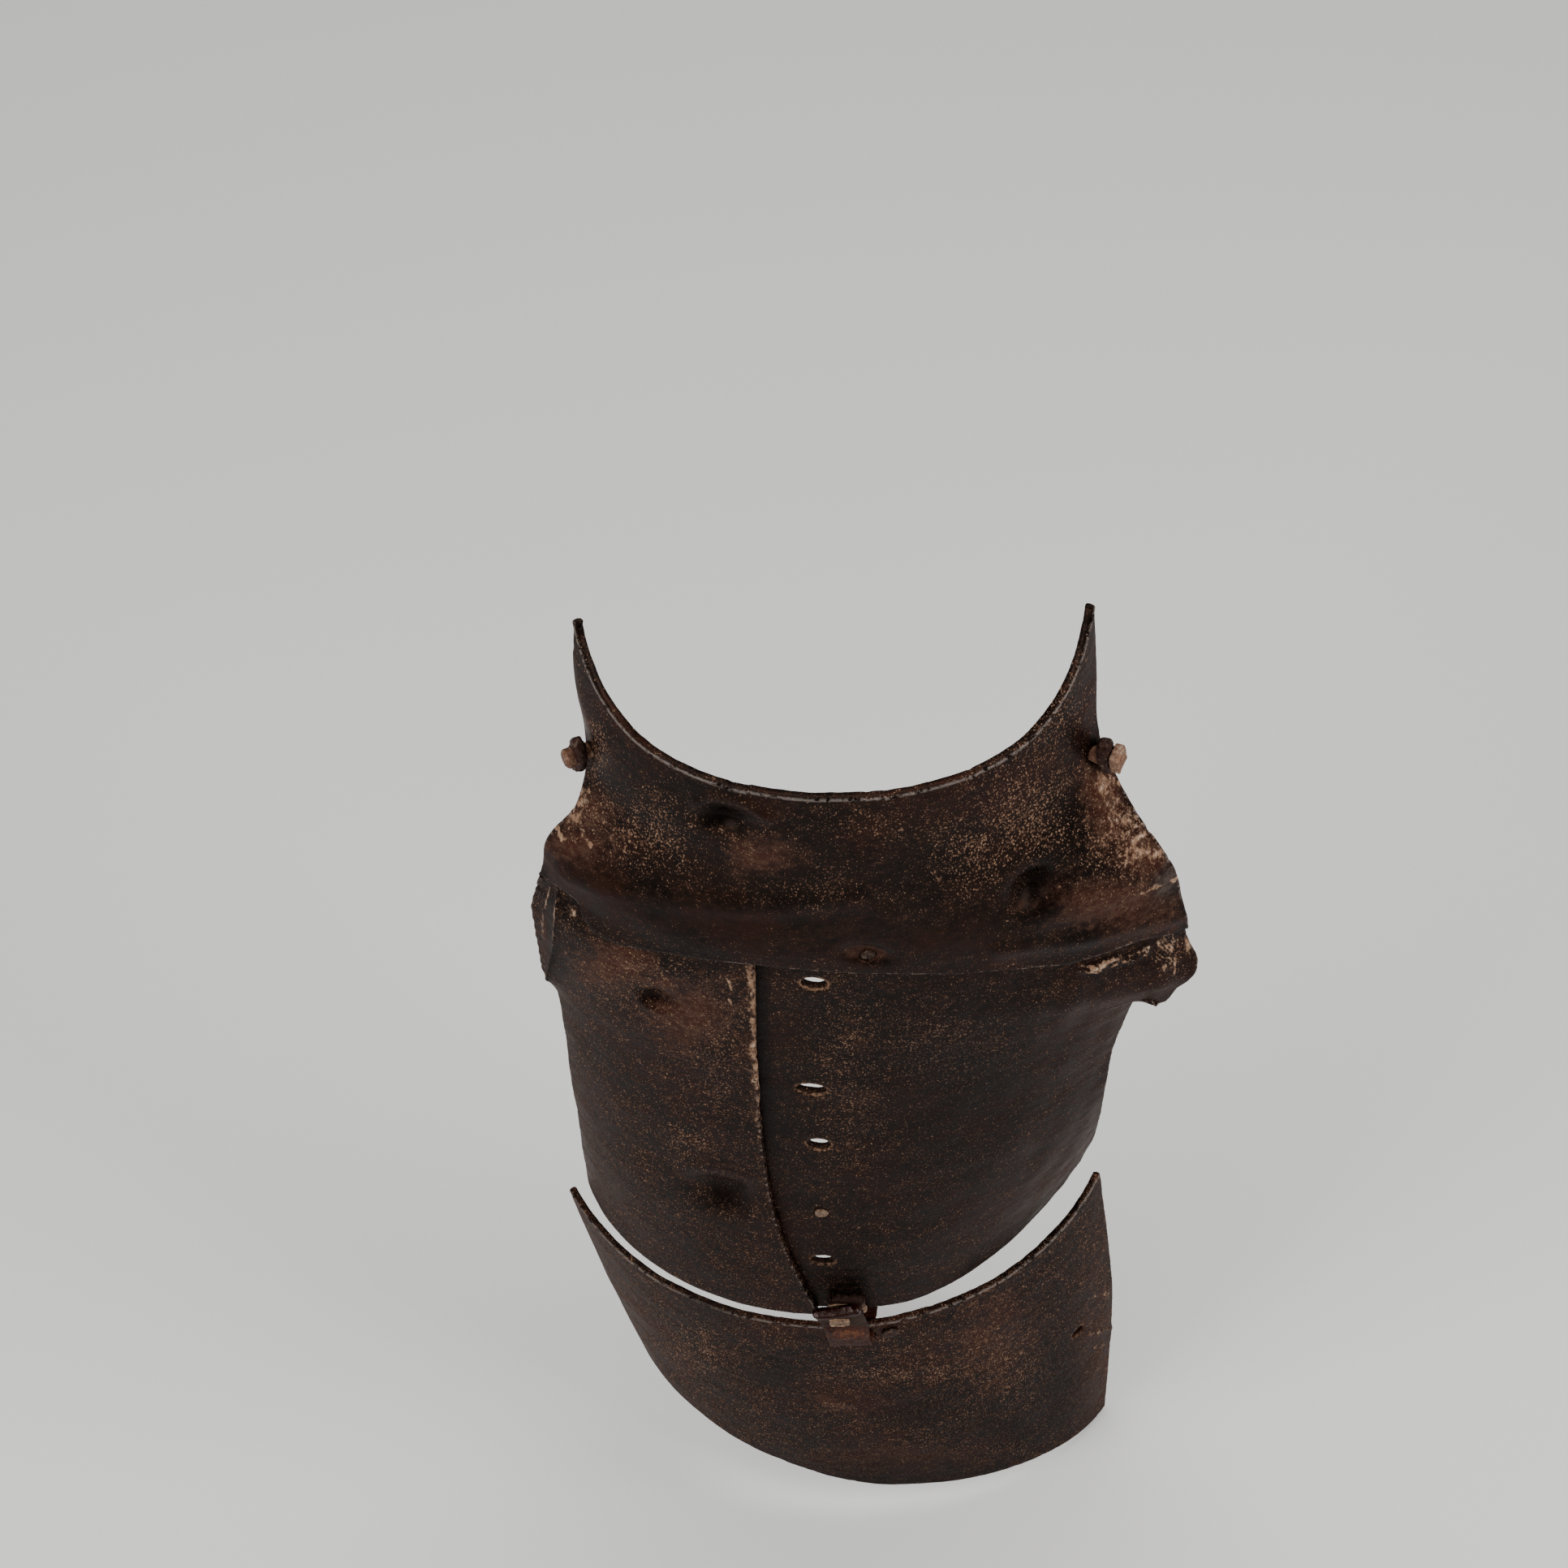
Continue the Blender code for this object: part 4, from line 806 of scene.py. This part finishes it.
def left_marks(outer):
    photo = Photo(outer)
    from_top, _, from_left, from_right = rim_reach(outer)
    crease = np.interp(photo.v, [v for _, v in LEFT_CREASE], [u for u, _ in LEFT_CREASE])
    inside = ramp(photo.v, *FLANGE_TOP) * (1 - ramp(photo.v, *FLANGE_FOOT))
    past = np.maximum(crease - photo.u, 0) / CREASE_PX_PER_MM * MM * inside
    teeth = np.sin(from_top / TOOTH_SPACING) * np.exp(-from_left / TOOTH_REACH) * (past > 0)
    push = dented(photo, LEFT_DENTS) + ridged(photo, LEFT_RIDGES) + 0.5 * past
    push = push - TOOTH_DEPTH * teeth - photo.line(LEFT_CREASE, 2.6) * CREASE_DEPTH * inside
    seam = np.exp(-(from_right / SEAM_WEAR) ** 2) * (1 - ramp(photo.v, *LEFT_SEAM_FADE))
    # The glints are painted highlights, laid as pale and as painted sheen.
    glints = strokes(photo, FLANGE_GLINTS, 2.0, outer)
    pale = np.maximum.reduce((0.72 * seam, 0.8 * strokes(photo, LEFT_STRIPS, 2.6, outer), 0.9 * glints))
    # The dark mark is painted shade in the dents and on the flange.
    return {"rust": np.maximum(photo.spots(*LEFT_RUST), 0.6 * seam),
            "fleck": np.maximum(0.34, 0.62 * photo.spots(*LEFT_FLECKS)), "pale": pale, "worn": glints,
            "dark": 0.85 * photo.spots(*LEFT_PAINTED_SHADE) * (1 - glints)}, push


def right_marks(outer):
    photo = Photo(outer)
    flutes = fuzz(outer * (2.2, 2.2, 0.7), 60 * MM, 61, 2)
    flutes = flutes * ramp(photo.u, *FLUTES_START) * (1 - ramp(photo.v, *FLUTES_END))
    loose = photo.line(LAMINATION, 6.5, 4)
    torn = fuzz(outer * (0.28, 0.5, 1.8), 4 * MM, 51, 4)
    push = photo.line(FINE_LINE, 1.6) * LINE_DEPTH + flutes * FLUTE_DEPTH - loose * (1.6 + 1.5 * torn) * MM
    # Painted shadow beside the seam, and painted shade above the hook and over wide zones.
    shadow = photo.line(SEAM_SHADOW, 13, 3) * (1 - ramp(photo.v, *RIGHT_SEAM_FADE))
    streaks = strokes(photo, RIGHT_STREAKS, 2.4, outer)
    dark = np.maximum.reduce((shadow, 0.7 * photo.spots(*RIGHT_HOOK_SHADE), 0.5 * photo.spots(*RIGHT_PAINTED_SHADE)))
    return {"rust": 0.35 * photo.spots(*RIGHT_RUST),
            "fleck": np.maximum(0.22, 0.60 * photo.spots(*RIGHT_FLECKS)),
            "pale": np.maximum.reduce((photo.spots(*RIGHT_PALE), 1.1 * streaks, loose * (0.62 + torn))),
            "worn": 0, "dark": dark}, push


def apron_marks(outer):
    photo = Photo(outer)
    weld = photo.line(APRON_WELD, 3)
    streaks = strokes(photo, APRON_STREAKS, 4, outer)
    push = -weld * (0.9 + 0.8 * fuzz(outer, 3 * MM, 71, 2)) * MM
    # The dark mark is painted shade.
    return {"rust": 0.75 * photo.spots(*APRON_RUST),
            "fleck": np.maximum(0.46, 0.74 * photo.spots(*APRON_FLECKS)),
            "pale": 0.6 * np.maximum(weld, streaks), "worn": 0, "dark": 0.7 * photo.spots(*APRON_PAINTED_SHADE)}, push


def shift_edge(outer, shifts, side):
    """Moves one side edge to its place in the photograph. shifts holds v, and pixels right and down."""
    edge = outer[:, -1 if side == "right" else 0]
    u, v = to_photo(edge)
    rows = np.array(shifts, float)
    right, down = np.interp(v, rows[:, 0], rows[:, 1]), np.interp(v, rows[:, 0], rows[:, 2])
    move = np.stack((right / PX_PER_MM_ACROSS, 0 * right, -down / PX_PER_MM_DOWN), -1) * MM
    reach = rim_reach(outer)[3 if side == "right" else 2]
    return outer + np.exp(-(reach / EDGE_BLEND) ** 1.5)[..., None] * move[:, None]


def place_left(across, level):
    return shift_edge(on_skin(across, level, LAYER), FLANGE_SHIFTS, "left")


def place_right(across, level):
    return shift_edge(on_skin(across, level, right_depth(across)), LOBE_SHIFTS, "right")


NECK_END_LEVELS = (0.88, 1.06)


def neck_levels(columns, rows):
    """Rows of the neck plate down to its lower edge in the photograph."""
    tries = np.linspace(*NECK_END_LEVELS, 60)
    across, level = np.meshgrid(columns, tries)
    u, v = to_photo(on_skin(across, level))
    target = np.interp(u, *zip(*NECK_LOWER_EDGE))
    end = np.array([np.interp(0, (v - target)[:, k], tries) for k in range(len(columns))])
    end = np.convolve(np.pad(end, 1, mode="edge"), (0.25, 0.5, 0.25), mode="valid")
    return np.linspace(0, 1, rows)[:, None] * end


# Places on the surfaces: across and level, and for a hole how much wider than tall it is
PLATE_HOLES = ((0.12, 1.04, 1.1), (0.117, 1.33, 1.35), (0.127, 1.485, 1.1), (0.075, 1.838, 1.1))
FASTENERS = {"centre_bolt": (0.235, 0.85), "neck_rivet": (-0.62, 0.91), "seam_rivet_upper": (-0.12, 1.25),
             "seam_rivet_lower": (-0.12, 1.80), "body_rivet": (0.11, 1.69)}
APRON_HOLE, APRON_BOLT = (0.758, 0.502), (0.127, 0.054)
HOLE_RADIUS, RIVET_HOLE, SHOULDER_HOLE = 6.4 * MM, 4.4 * MM, 4.6 * MM
APRON_HOLE_RADIUS, APRON_BOLT_HOLE = 5 * MM, 3.8 * MM
SLOT_X, SLOT_DROP, SLOT_RADIUS = 9 * MM, 1.6 * MM, 7.9 * MM


def add_plates():
    collar = plate_material("neck_iron", red=0.35, speckle=0.25, gloss=0.38)
    left = plate_material("left_iron", red=0.25, speckle=0.3, gloss=0.42, brown=0.18)
    right = plate_material("right_iron", red=0.22, speckle=0.3, gloss=0.42, brown=0.06)
    skirt = plate_material("apron_iron", red=0.5, speckle=0.6, gloss=0.46, brown=0.22)
    lower_levels = np.concatenate((np.linspace(LAP_LEVEL, 1, 18), np.linspace(1, 2, 190)[1:]))
    neck_columns = columns_of(95, 140)
    neck_holes = [(on_skin(*spot), SHOULDER_HOLE, 1) for spot in SHOULDERS.values()]
    neck_holes.append((on_skin(*FASTENERS["centre_bolt"]), RIVET_HOLE, 1))
    right_holes = [(on_skin(a, b, right_depth(a)), HOLE_RADIUS, wide) for a, b, wide in PLATE_HOLES]
    for a, b in (FASTENERS["centre_bolt"], FASTENERS["body_rivet"]):
        right_holes.append((on_skin(a, b, right_depth(a)), RIVET_HOLE, 1))
    apron_holes = [(place_apron(*APRON_HOLE), APRON_HOLE_RADIUS, 1.1),
                   (place_apron(*APRON_BOLT), APRON_BOLT_HOLE, 1),
                   ((SLOT_X, APRON_FACE_Y, HINGE_Z - SLOT_DROP), SLOT_RADIUS, SLOT_WIDE)]
    plate("neck_plate", on_skin, neck_columns, neck_levels(neck_columns, 96), neck_marks, collar, neck_holes,
          seed=1, bulge=0.45)
    plate("left_plate", place_left, np.linspace(-1, 0, 100), lower_levels, left_marks, left, (),
          seed=2, bulge=0.25)
    plate("right_plate", place_right, columns_of(18, 150, -LAP_SHARE), lower_levels, right_marks, right,
          right_holes, seed=3, bulge=0.5)
    plate("apron_plate", place_apron, np.linspace(-1, 1, 230), np.linspace(0, 1, 140), apron_marks, skirt,
          apron_holes, seed=4, bulge=0.6, thickness=APRON_PLATE, body="apron")


# Fasteners
RIVET_HEAD, RIVET_HEAD_RISE, RIVET_SHANK = 7 * MM, 2.5 * MM, 4 * MM
BODY_RIVET_PALE = 0.45
# How far hidden ends lie under the surface, in mm
SUNK_ENDS = {"neck_rivet": 1.2, "seam_rivet_upper": 1.2, "seam_rivet_lower": 1.2, "centre_bolt": 2.6}
SHOULDER_HEAD, SHOULDER_HEAD_RISE, SHOULDER_SHANK = 9 * MM, 4 * MM, 4.2 * MM
# Each bolt's outer end: its radius, the depth of its thread, and how far it leans outwards
SHOULDER_ENDS = {"left": (5.2 * MM, 0.35 * MM, 0.0), "right": (3.6 * MM, 0.2 * MM, 0.75)}
SHOULDER_END_RISE, THREAD_STEPS = 7 * MM, 17
WASHER_RADIUS, WASHER_HALF_WIDTH, WASHER_HALF_LENGTH = 9 * MM, 6 * MM, 12.8 * MM
NUT_RADIUS, NUT_FOOT, NUT_TOP = 5.6 * MM, 1 * MM, 6.2 * MM
# A rivet's shank leaves out the first points of its dome, which would lie inside the head
SHANK_START, DOME_STEPS, TURNED_SIDES = 7, 6, 48


def axes_along(direction):
    """Sideways, up and along a direction."""
    along = unit(np.array(direction, float))
    side = unit(np.cross(np.array((0, 0, 1.0)), along))
    return side, np.cross(along, side), along


def span_of(node, point, direction):
    """How far a CAD node reaches along a direction from a point."""
    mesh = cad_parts[node].data
    corners = np.zeros(len(mesh.vertices) * 3)
    mesh.vertices.foreach_get("co", corners)
    reach = (corners.reshape(-1, 3) - point) @ direction
    return reach.min(), reach.max()


def ring_shape(sides, square):
    """A ring of radius 1, round where square is 2 and four-sided above it."""
    angle = np.linspace(0, math.tau, sides, endpoint=False)
    c, s = np.cos(angle), np.sin(angle)
    reach = 1 / (np.abs(c) ** square + np.abs(s) ** square) ** (1 / square)
    return reach * c, reach * s


def tube_faces(rings, sides):
    """Faces between rings of points, and a fan to one more point at each end."""
    last, tips = (rings - 1) * sides, rings * sides
    turns = [(k, (k + 1) % sides) for k in range(sides)]
    faces = [(low + k, low + m, low + sides + m, low + sides + k)
             for low in range(0, last, sides) for k, m in turns]
    for k, m in turns:
        faces += [(tips, m, k), (tips + 1, last + k, last + m)]
    return faces


def turned(name, profile, point, direction, material, body="breastplate", node=None, wide=1.0, tall=1.0,
           square=2.0, rough=0.12, seed=0, pale=0.0):
    """A closed turned piece. profile holds radius and height, and square is as in ring_shape."""
    side, up, along = axes_along(direction)
    x, y = ring_shape(TURNED_SIDES, square)
    rings = [point + side * (x * wide * radius)[:, None] + up * (y * tall * radius)[:, None] + along * height
             for radius, height in profile]
    tips = [(point + along * height)[None] for _, height in (profile[0], profile[-1])]
    points = np.concatenate(rings + tips)
    reach = np.linalg.norm(points - points.mean(axis=0), axis=-1)
    shake = np.stack([fuzz(points, 4 * MM, seed + k, 3) for k in range(3)], -1) * rough * MM
    points = points + shake * np.minimum(1, reach / (3 * MM))[:, None]
    marks = {"pale": np.full(len(points), pale), "dark": np.zeros(len(points))}
    thing = add_mesh(name, points, tube_faces(len(rings), TURNED_SIDES), marks)
    dress(thing, node or name, material, body)


def dome(radius, low, high, soft):
    """A profile from low to high, with rounded corners of the size soft."""
    turns = [math.pi / 2 * k / DOME_STEPS for k in range(DOME_STEPS + 1)]
    inside = radius - soft
    profile = [(radius * share, low) for share in (0.3, 0.65) if radius * share < inside]
    profile += [(inside + soft * math.sin(turn), low + soft - soft * math.cos(turn)) for turn in turns]
    profile += [(inside + soft * math.cos(turn), high - soft + soft * math.sin(turn)) for turn in turns]
    return profile + [(radius * share, high) for share in (0.65, 0.3) if radius * share < inside]


def add_rivets(material):
    for number, (name, spot) in enumerate(FASTENERS.items()):
        point, direction = on_skin(*spot), surface_normal(bare_skin, *spot)
        low, high = span_of(name, point, direction)
        high -= SUNK_ENDS.get(name, 0) * MM
        seat = low + RIVET_HEAD_RISE
        profile = dome(RIVET_HEAD, low, seat, 0.9 * MM) + [(RIVET_SHANK, seat)]
        profile += dome(RIVET_SHANK, seat + 0.1 * MM, high, 0.7 * MM)[SHANK_START:]
        rubbed = BODY_RIVET_PALE if name == "body_rivet" else 0.0
        turned(name, profile, point, direction, material, seed=number, pale=rubbed)


def add_shoulder(side, material, dark, nut):
    """The bolt, its oval washer and perhaps its nut."""
    bolt, washer = "shoulder_bolt_" + side, "shoulder_washer_" + side
    point, direction = on_skin(*SHOULDERS[side]), surface_normal(bare_skin, *SHOULDERS[side])
    low, high = span_of(bolt, point, direction)
    inner, seat = span_of(washer, point, direction)
    head_seat = low + SHOULDER_HEAD_RISE
    profile = dome(SHOULDER_HEAD, low, head_seat, 1.2 * MM)
    profile += [(SHOULDER_SHANK, head_seat), (SHOULDER_SHANK, inner + 1 * MM)]
    turned("shoulder_shank_" + side, profile, point, direction, material, node=bolt, seed=14)
    end, thread, lean = SHOULDER_ENDS[side]
    direction = unit(direction + np.array((lean, 0, 0)))
    high = min(high, seat + SHOULDER_END_RISE)
    turns = np.linspace(seat + 0.2 * MM, high - 1.4 * MM, THREAD_STEPS)
    profile = [(end / 2, seat - 1 * MM), (end - 1 * MM, seat - 1 * MM)]
    profile += [(end - thread * (k % 2), height) for k, height in enumerate(turns)]
    profile += [(end - 0.5 * MM, high - 0.7 * MM), (end - 1.4 * MM, high), (end / 2, high + 0.1 * MM)]
    turned(bolt, profile, point, direction, material, seed=11)
    turned(washer, dome(WASHER_RADIUS, inner, seat + 0.4 * MM, 2.4 * MM), point, direction, dark, rough=0.7,
           wide=WASHER_HALF_WIDTH / WASHER_RADIUS, tall=WASHER_HALF_LENGTH / WASHER_RADIUS, seed=12)
    if nut:
        turned("shoulder_nut_" + side, dome(NUT_RADIUS, seat + NUT_FOOT, seat + NUT_TOP, 0.9 * MM), point,
               direction, material, square=9, rough=0.3, seed=13, pale=0.3)


# The hook
HOOK_HALF_WIDTH, HOOK_HALF_WALL, HOOK_TILT = 12.5 * MM, 3.25 * MM, 3 * MM
HOOK_SHIFT, HOOK_LEFT, HOOK_KNEE = 13 * MM, 1 * MM, 4.5 * MM
HOOK_GRIP, HOOK_KICK, HOOK_TUCK, HOOK_SAG = 19 * MM, 3.7 * MM, 6 * MM, 1.7 * MM
HOOK_RINGS, HOOK_SIDES, HOOK_FACE_LENGTH = 70, 56, 50 * MM
HOOK_ROUNDING, HOOK_END_NARROWING = 2.5 * MM, 1.2 * MM
LIP_LENGTH, LIP_AT, LIP_WIDENING, LIP_SWELL = 4.5 * MM, 3 * MM, 0.22, 0.30
HOOK_PALE = ((1046, 1644, 34, 9),)


def hook_path():
    """The strap's middle line from the outer tip to the inner one, through the bends of the solid."""
    half = HOOK_HALF_WALL
    back_y = float(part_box("hook_strap")[1].y) - half
    tip_y = WAIST_FACE_Y - PLATE - 2 * GAP - half
    front = tip_y - HOOK_KICK
    rise = APRON_FACE_Y + APRON_PLATE + GAP + half + HOOK_SAG
    bends = np.array((
        (tip_y, WAIST_Z + HOOK_GRIP, 0.00), (front, WAIST_Z + HOOK_KNEE, 0.40),
        (front + HOOK_KNEE / 2, HINGE_Z + 2.5 * HOOK_KNEE, 0.60),
        (front + HOOK_KNEE, HINGE_Z + 0.7 * HOOK_KNEE, 0.70),
        (APRON_FACE_Y - 0.1 * HOOK_KNEE, HINGE_Z, 0.80), (rise - 1.2 * HOOK_KNEE, HINGE_Z, 0.88),
        (rise - 0.2 * HOOK_KNEE, HINGE_Z + 1.1 * HOOK_KNEE, 0.93), (rise, RIM_Z, 0.96),
        (back_y, WAIST_Z - GAP, 1.00), (back_y, WAIST_Z + HOOK_TUCK, 1.00)))
    lengths = np.concatenate(((0,), np.cumsum(np.linalg.norm(np.diff(bends[:, :2], axis=0), axis=-1))))
    table = np.column_stack((lengths, bends))
    at = np.linspace(0, lengths[-1], HOOK_RINGS)
    return at, [curve(table, column, at)[:, None] for column in (1, 2, 3)]


def add_hook(material):
    at, (y, z, shift) = hook_path()
    x = HOOK_SHIFT * shift - HOOK_LEFT
    ty, tz = np.gradient(y, axis=0), np.gradient(z, axis=0)
    size = np.hypot(ty, tz)
    ty, tz = ty / size, tz / size
    wide, thick = ring_shape(HOOK_SIDES, 5)
    length = at[:, None]
    from_end = np.minimum(length, at[-1] - length)
    closing = np.sqrt(np.clip(1 - (1 - np.minimum(from_end / HOOK_ROUNDING, 1)) ** 2, 0.02, 1))
    widening = np.where(wide < 0, 1 + LIP_WIDENING * np.exp(-length / (9 * MM)), 1)
    half_wide = HOOK_HALF_WIDTH - HOOK_END_NARROWING * (1 - closing)
    swell = 1 + LIP_SWELL * np.exp(-((length - LIP_AT) / LIP_AT) ** 2)
    push = thick * HOOK_HALF_WALL * closing * swell
    slant = HOOK_TILT * wide * np.exp(-length / (12 * MM))
    x = x + wide * half_wide * widening
    points = np.stack((x, y + tz * push, z - ty * push + slant), -1).reshape(-1, 3)
    points = points + np.stack([fuzz(points, 7 * MM, 30 + k, 4) for k in range(3)], -1) * 0.45 * MM
    tips = points[:HOOK_SIDES].mean(axis=0), points[-HOOK_SIDES:].mean(axis=0)
    points = np.concatenate((points, tips))
    photo = Photo(points)
    along = np.concatenate((np.repeat(at, HOOK_SIDES), (0, at[-1])))
    rust = np.where(along < HOOK_FACE_LENGTH, ramp(photo.v, *HOOK_RUST_START), 1.0)
    marks = {"rust": rust, "lip": np.exp(-(along / LIP_LENGTH) ** 3), "pale": photo.spots(*HOOK_PALE)}
    thing = add_mesh("hook_strap", points, tube_faces(HOOK_RINGS, HOOK_SIDES), marks)
    dress(thing, "hook_strap", material)


# The pad's places on the skin: its sides, its ends, its pale ledge and its shaded top
PAD_SIDES, PAD_ENDS = (0.035, 0.155), (1.948, 1.992)
PAD_LEDGE, PAD_SHADE = (1.968, 1.976), (1.955, 1.968)


def add_pad(material):
    across, level = np.meshgrid(np.linspace(*PAD_SIDES, 26), np.linspace(*PAD_ENDS, 18))
    outer = on_skin(across, level, right_depth(across) - LAYER)
    outer = outer - grid_normals(outer) * (0.5 * MM * fuzz(outer, 6 * MM, 41, 3))[..., None]
    ledge = ramp(level, *PAD_LEDGE) * ramp(fuzz(outer * (0.5, 1, 5), 6 * MM, 42, 3), 0.0, 0.3)
    # The dark mark is painted shade on the pad's top.
    marks = {"pale": 0.6 * ledge, "dark": 1 - ramp(level, *PAD_SHADE)}
    thing = shell("hook_pad", outer, PLATE, marks, (), 43, ragged=0.8 * MM)
    dress(thing, "hook_pad", material)


# Each rust: its colour where deep and where rubbed, its share of light specks, and how metallic it is
RUSTS = {"red_rust": ((0.030, 0.009, 0.005), (0.065, 0.028, 0.016), 0.3, 0.15),
         "bolt_rust": ((0.014, 0.006, 0.004), (0.040, 0.020, 0.014), 0.4, 0.35),
         "copper_rust": ((0.075, 0.032, 0.020), (0.20, 0.10, 0.062), 0.7, 0.4),
         "washer_rust": ((0.020, 0.008, 0.006), (0.048, 0.024, 0.019), 0.25, 0.3),
         "rubbed_rust": ((0.10, 0.055, 0.035), (0.30, 0.19, 0.12), 0.8, 0.15)}
HOOK_RIVET_HALF_WIDTH, HOOK_RIVET_HALF_HEIGHT = 6 * MM, 3.8 * MM
APRON_BOLT_RADIUS, APRON_BOLT_FOOT, APRON_BOLT_SUNK = 5.2 * MM, 0.2 * MM, 0.8 * MM


def add_small_iron():
    red, bolt, copper, dark, rubbed = (rust_material(name, *row) for name, row in RUSTS.items())
    add_hook(hook_material())
    add_pad(red)
    low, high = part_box("hook_rivet")
    centre, forward = np.array((low + high) / 2), np.array((0, -1.0, 0))
    near, far = span_of("hook_rivet", centre, forward)
    turned("hook_rivet", dome(HOOK_RIVET_HALF_WIDTH, near, far, 1.2 * MM), centre, forward, rubbed,
           tall=HOOK_RIVET_HALF_HEIGHT / HOOK_RIVET_HALF_WIDTH, square=7, rough=0.5, seed=21)
    add_rivets(bolt)
    add_shoulder("left", copper, dark, nut=False)
    add_shoulder("right", copper, dark, nut=True)
    point, direction = place_apron(*APRON_BOLT), surface_normal(place_apron, *APRON_BOLT)
    far = span_of("apron_bolt", point, direction)[1]
    profile = dome(APRON_BOLT_RADIUS, APRON_BOLT_FOOT, far - APRON_BOLT_SUNK, 0.8 * MM)
    turned("apron_bolt", profile, point, direction, bolt, body="apron", seed=22)


# Floor, lights and world
FLOOR_HALF, FLOOR_GAP = 30.0, 2 * MM
FLOOR_COLOUR, FLOOR_ROUGHNESS = (0.78, 0.77, 0.75, 1), 0.85
WORLD_COLOUR, WORLD_STRENGTH = (0.86, 0.87, 0.88, 1), 0.45
# Each light: its name, place, size and power
LIGHTS = (("left_softbox", (-1.5, -0.9, 0.8), (1.0, 1.4), 30),
          ("right_softbox", (1.6, -0.7, 0.9), (1.0, 1.4), 34),
          ("top_softbox", (0.1, 0.6, 1.9), (1.8, 1.0), 26))
LIGHTS_AIM = Vector((0, -0.03, -0.35))


def add_stage():
    mesh = bpy.data.meshes.new("floor")
    half, low = FLOOR_HALF, cad_box[0].z - FLOOR_GAP
    mesh.from_pydata([(-half, -half, low), (half, -half, low), (half, half, low), (-half, half, low)], [],
                     [(0, 1, 2, 3)])
    floor = bpy.data.objects.new("floor", mesh)
    bpy.context.scene.collection.objects.link(floor)
    paint = bpy.data.materials.new("pale_floor")
    paint.use_nodes = True
    shader = paint.node_tree.nodes["Principled BSDF"]
    shader.inputs["Base Color"].default_value = FLOOR_COLOUR
    shader.inputs["Roughness"].default_value = FLOOR_ROUGHNESS
    mesh.materials.append(paint)
    world = bpy.data.worlds.new("studio")
    world.use_nodes = True
    background = world.node_tree.nodes["Background"]
    background.inputs["Color"].default_value = WORLD_COLOUR
    background.inputs["Strength"].default_value = WORLD_STRENGTH
    bpy.context.scene.world = world


def add_lights():
    for name, place, (wide, tall), power in LIGHTS:
        data = bpy.data.lights.new(name, "AREA")
        data.shape = "RECTANGLE"
        data.size, data.size_y = wide, tall
        data.energy = power
        light = bpy.data.objects.new(name, data)
        bpy.context.scene.collection.objects.link(light)
        light.location = place
        light.rotation_euler = (LIGHTS_AIM - light.location).to_track_quat("-Z", "Y").to_euler()


def save_sizes():
    bpy.context.view_layer.update()


add_camera()
add_plates()
add_small_iron()
add_stage()
add_lights()
save_sizes()
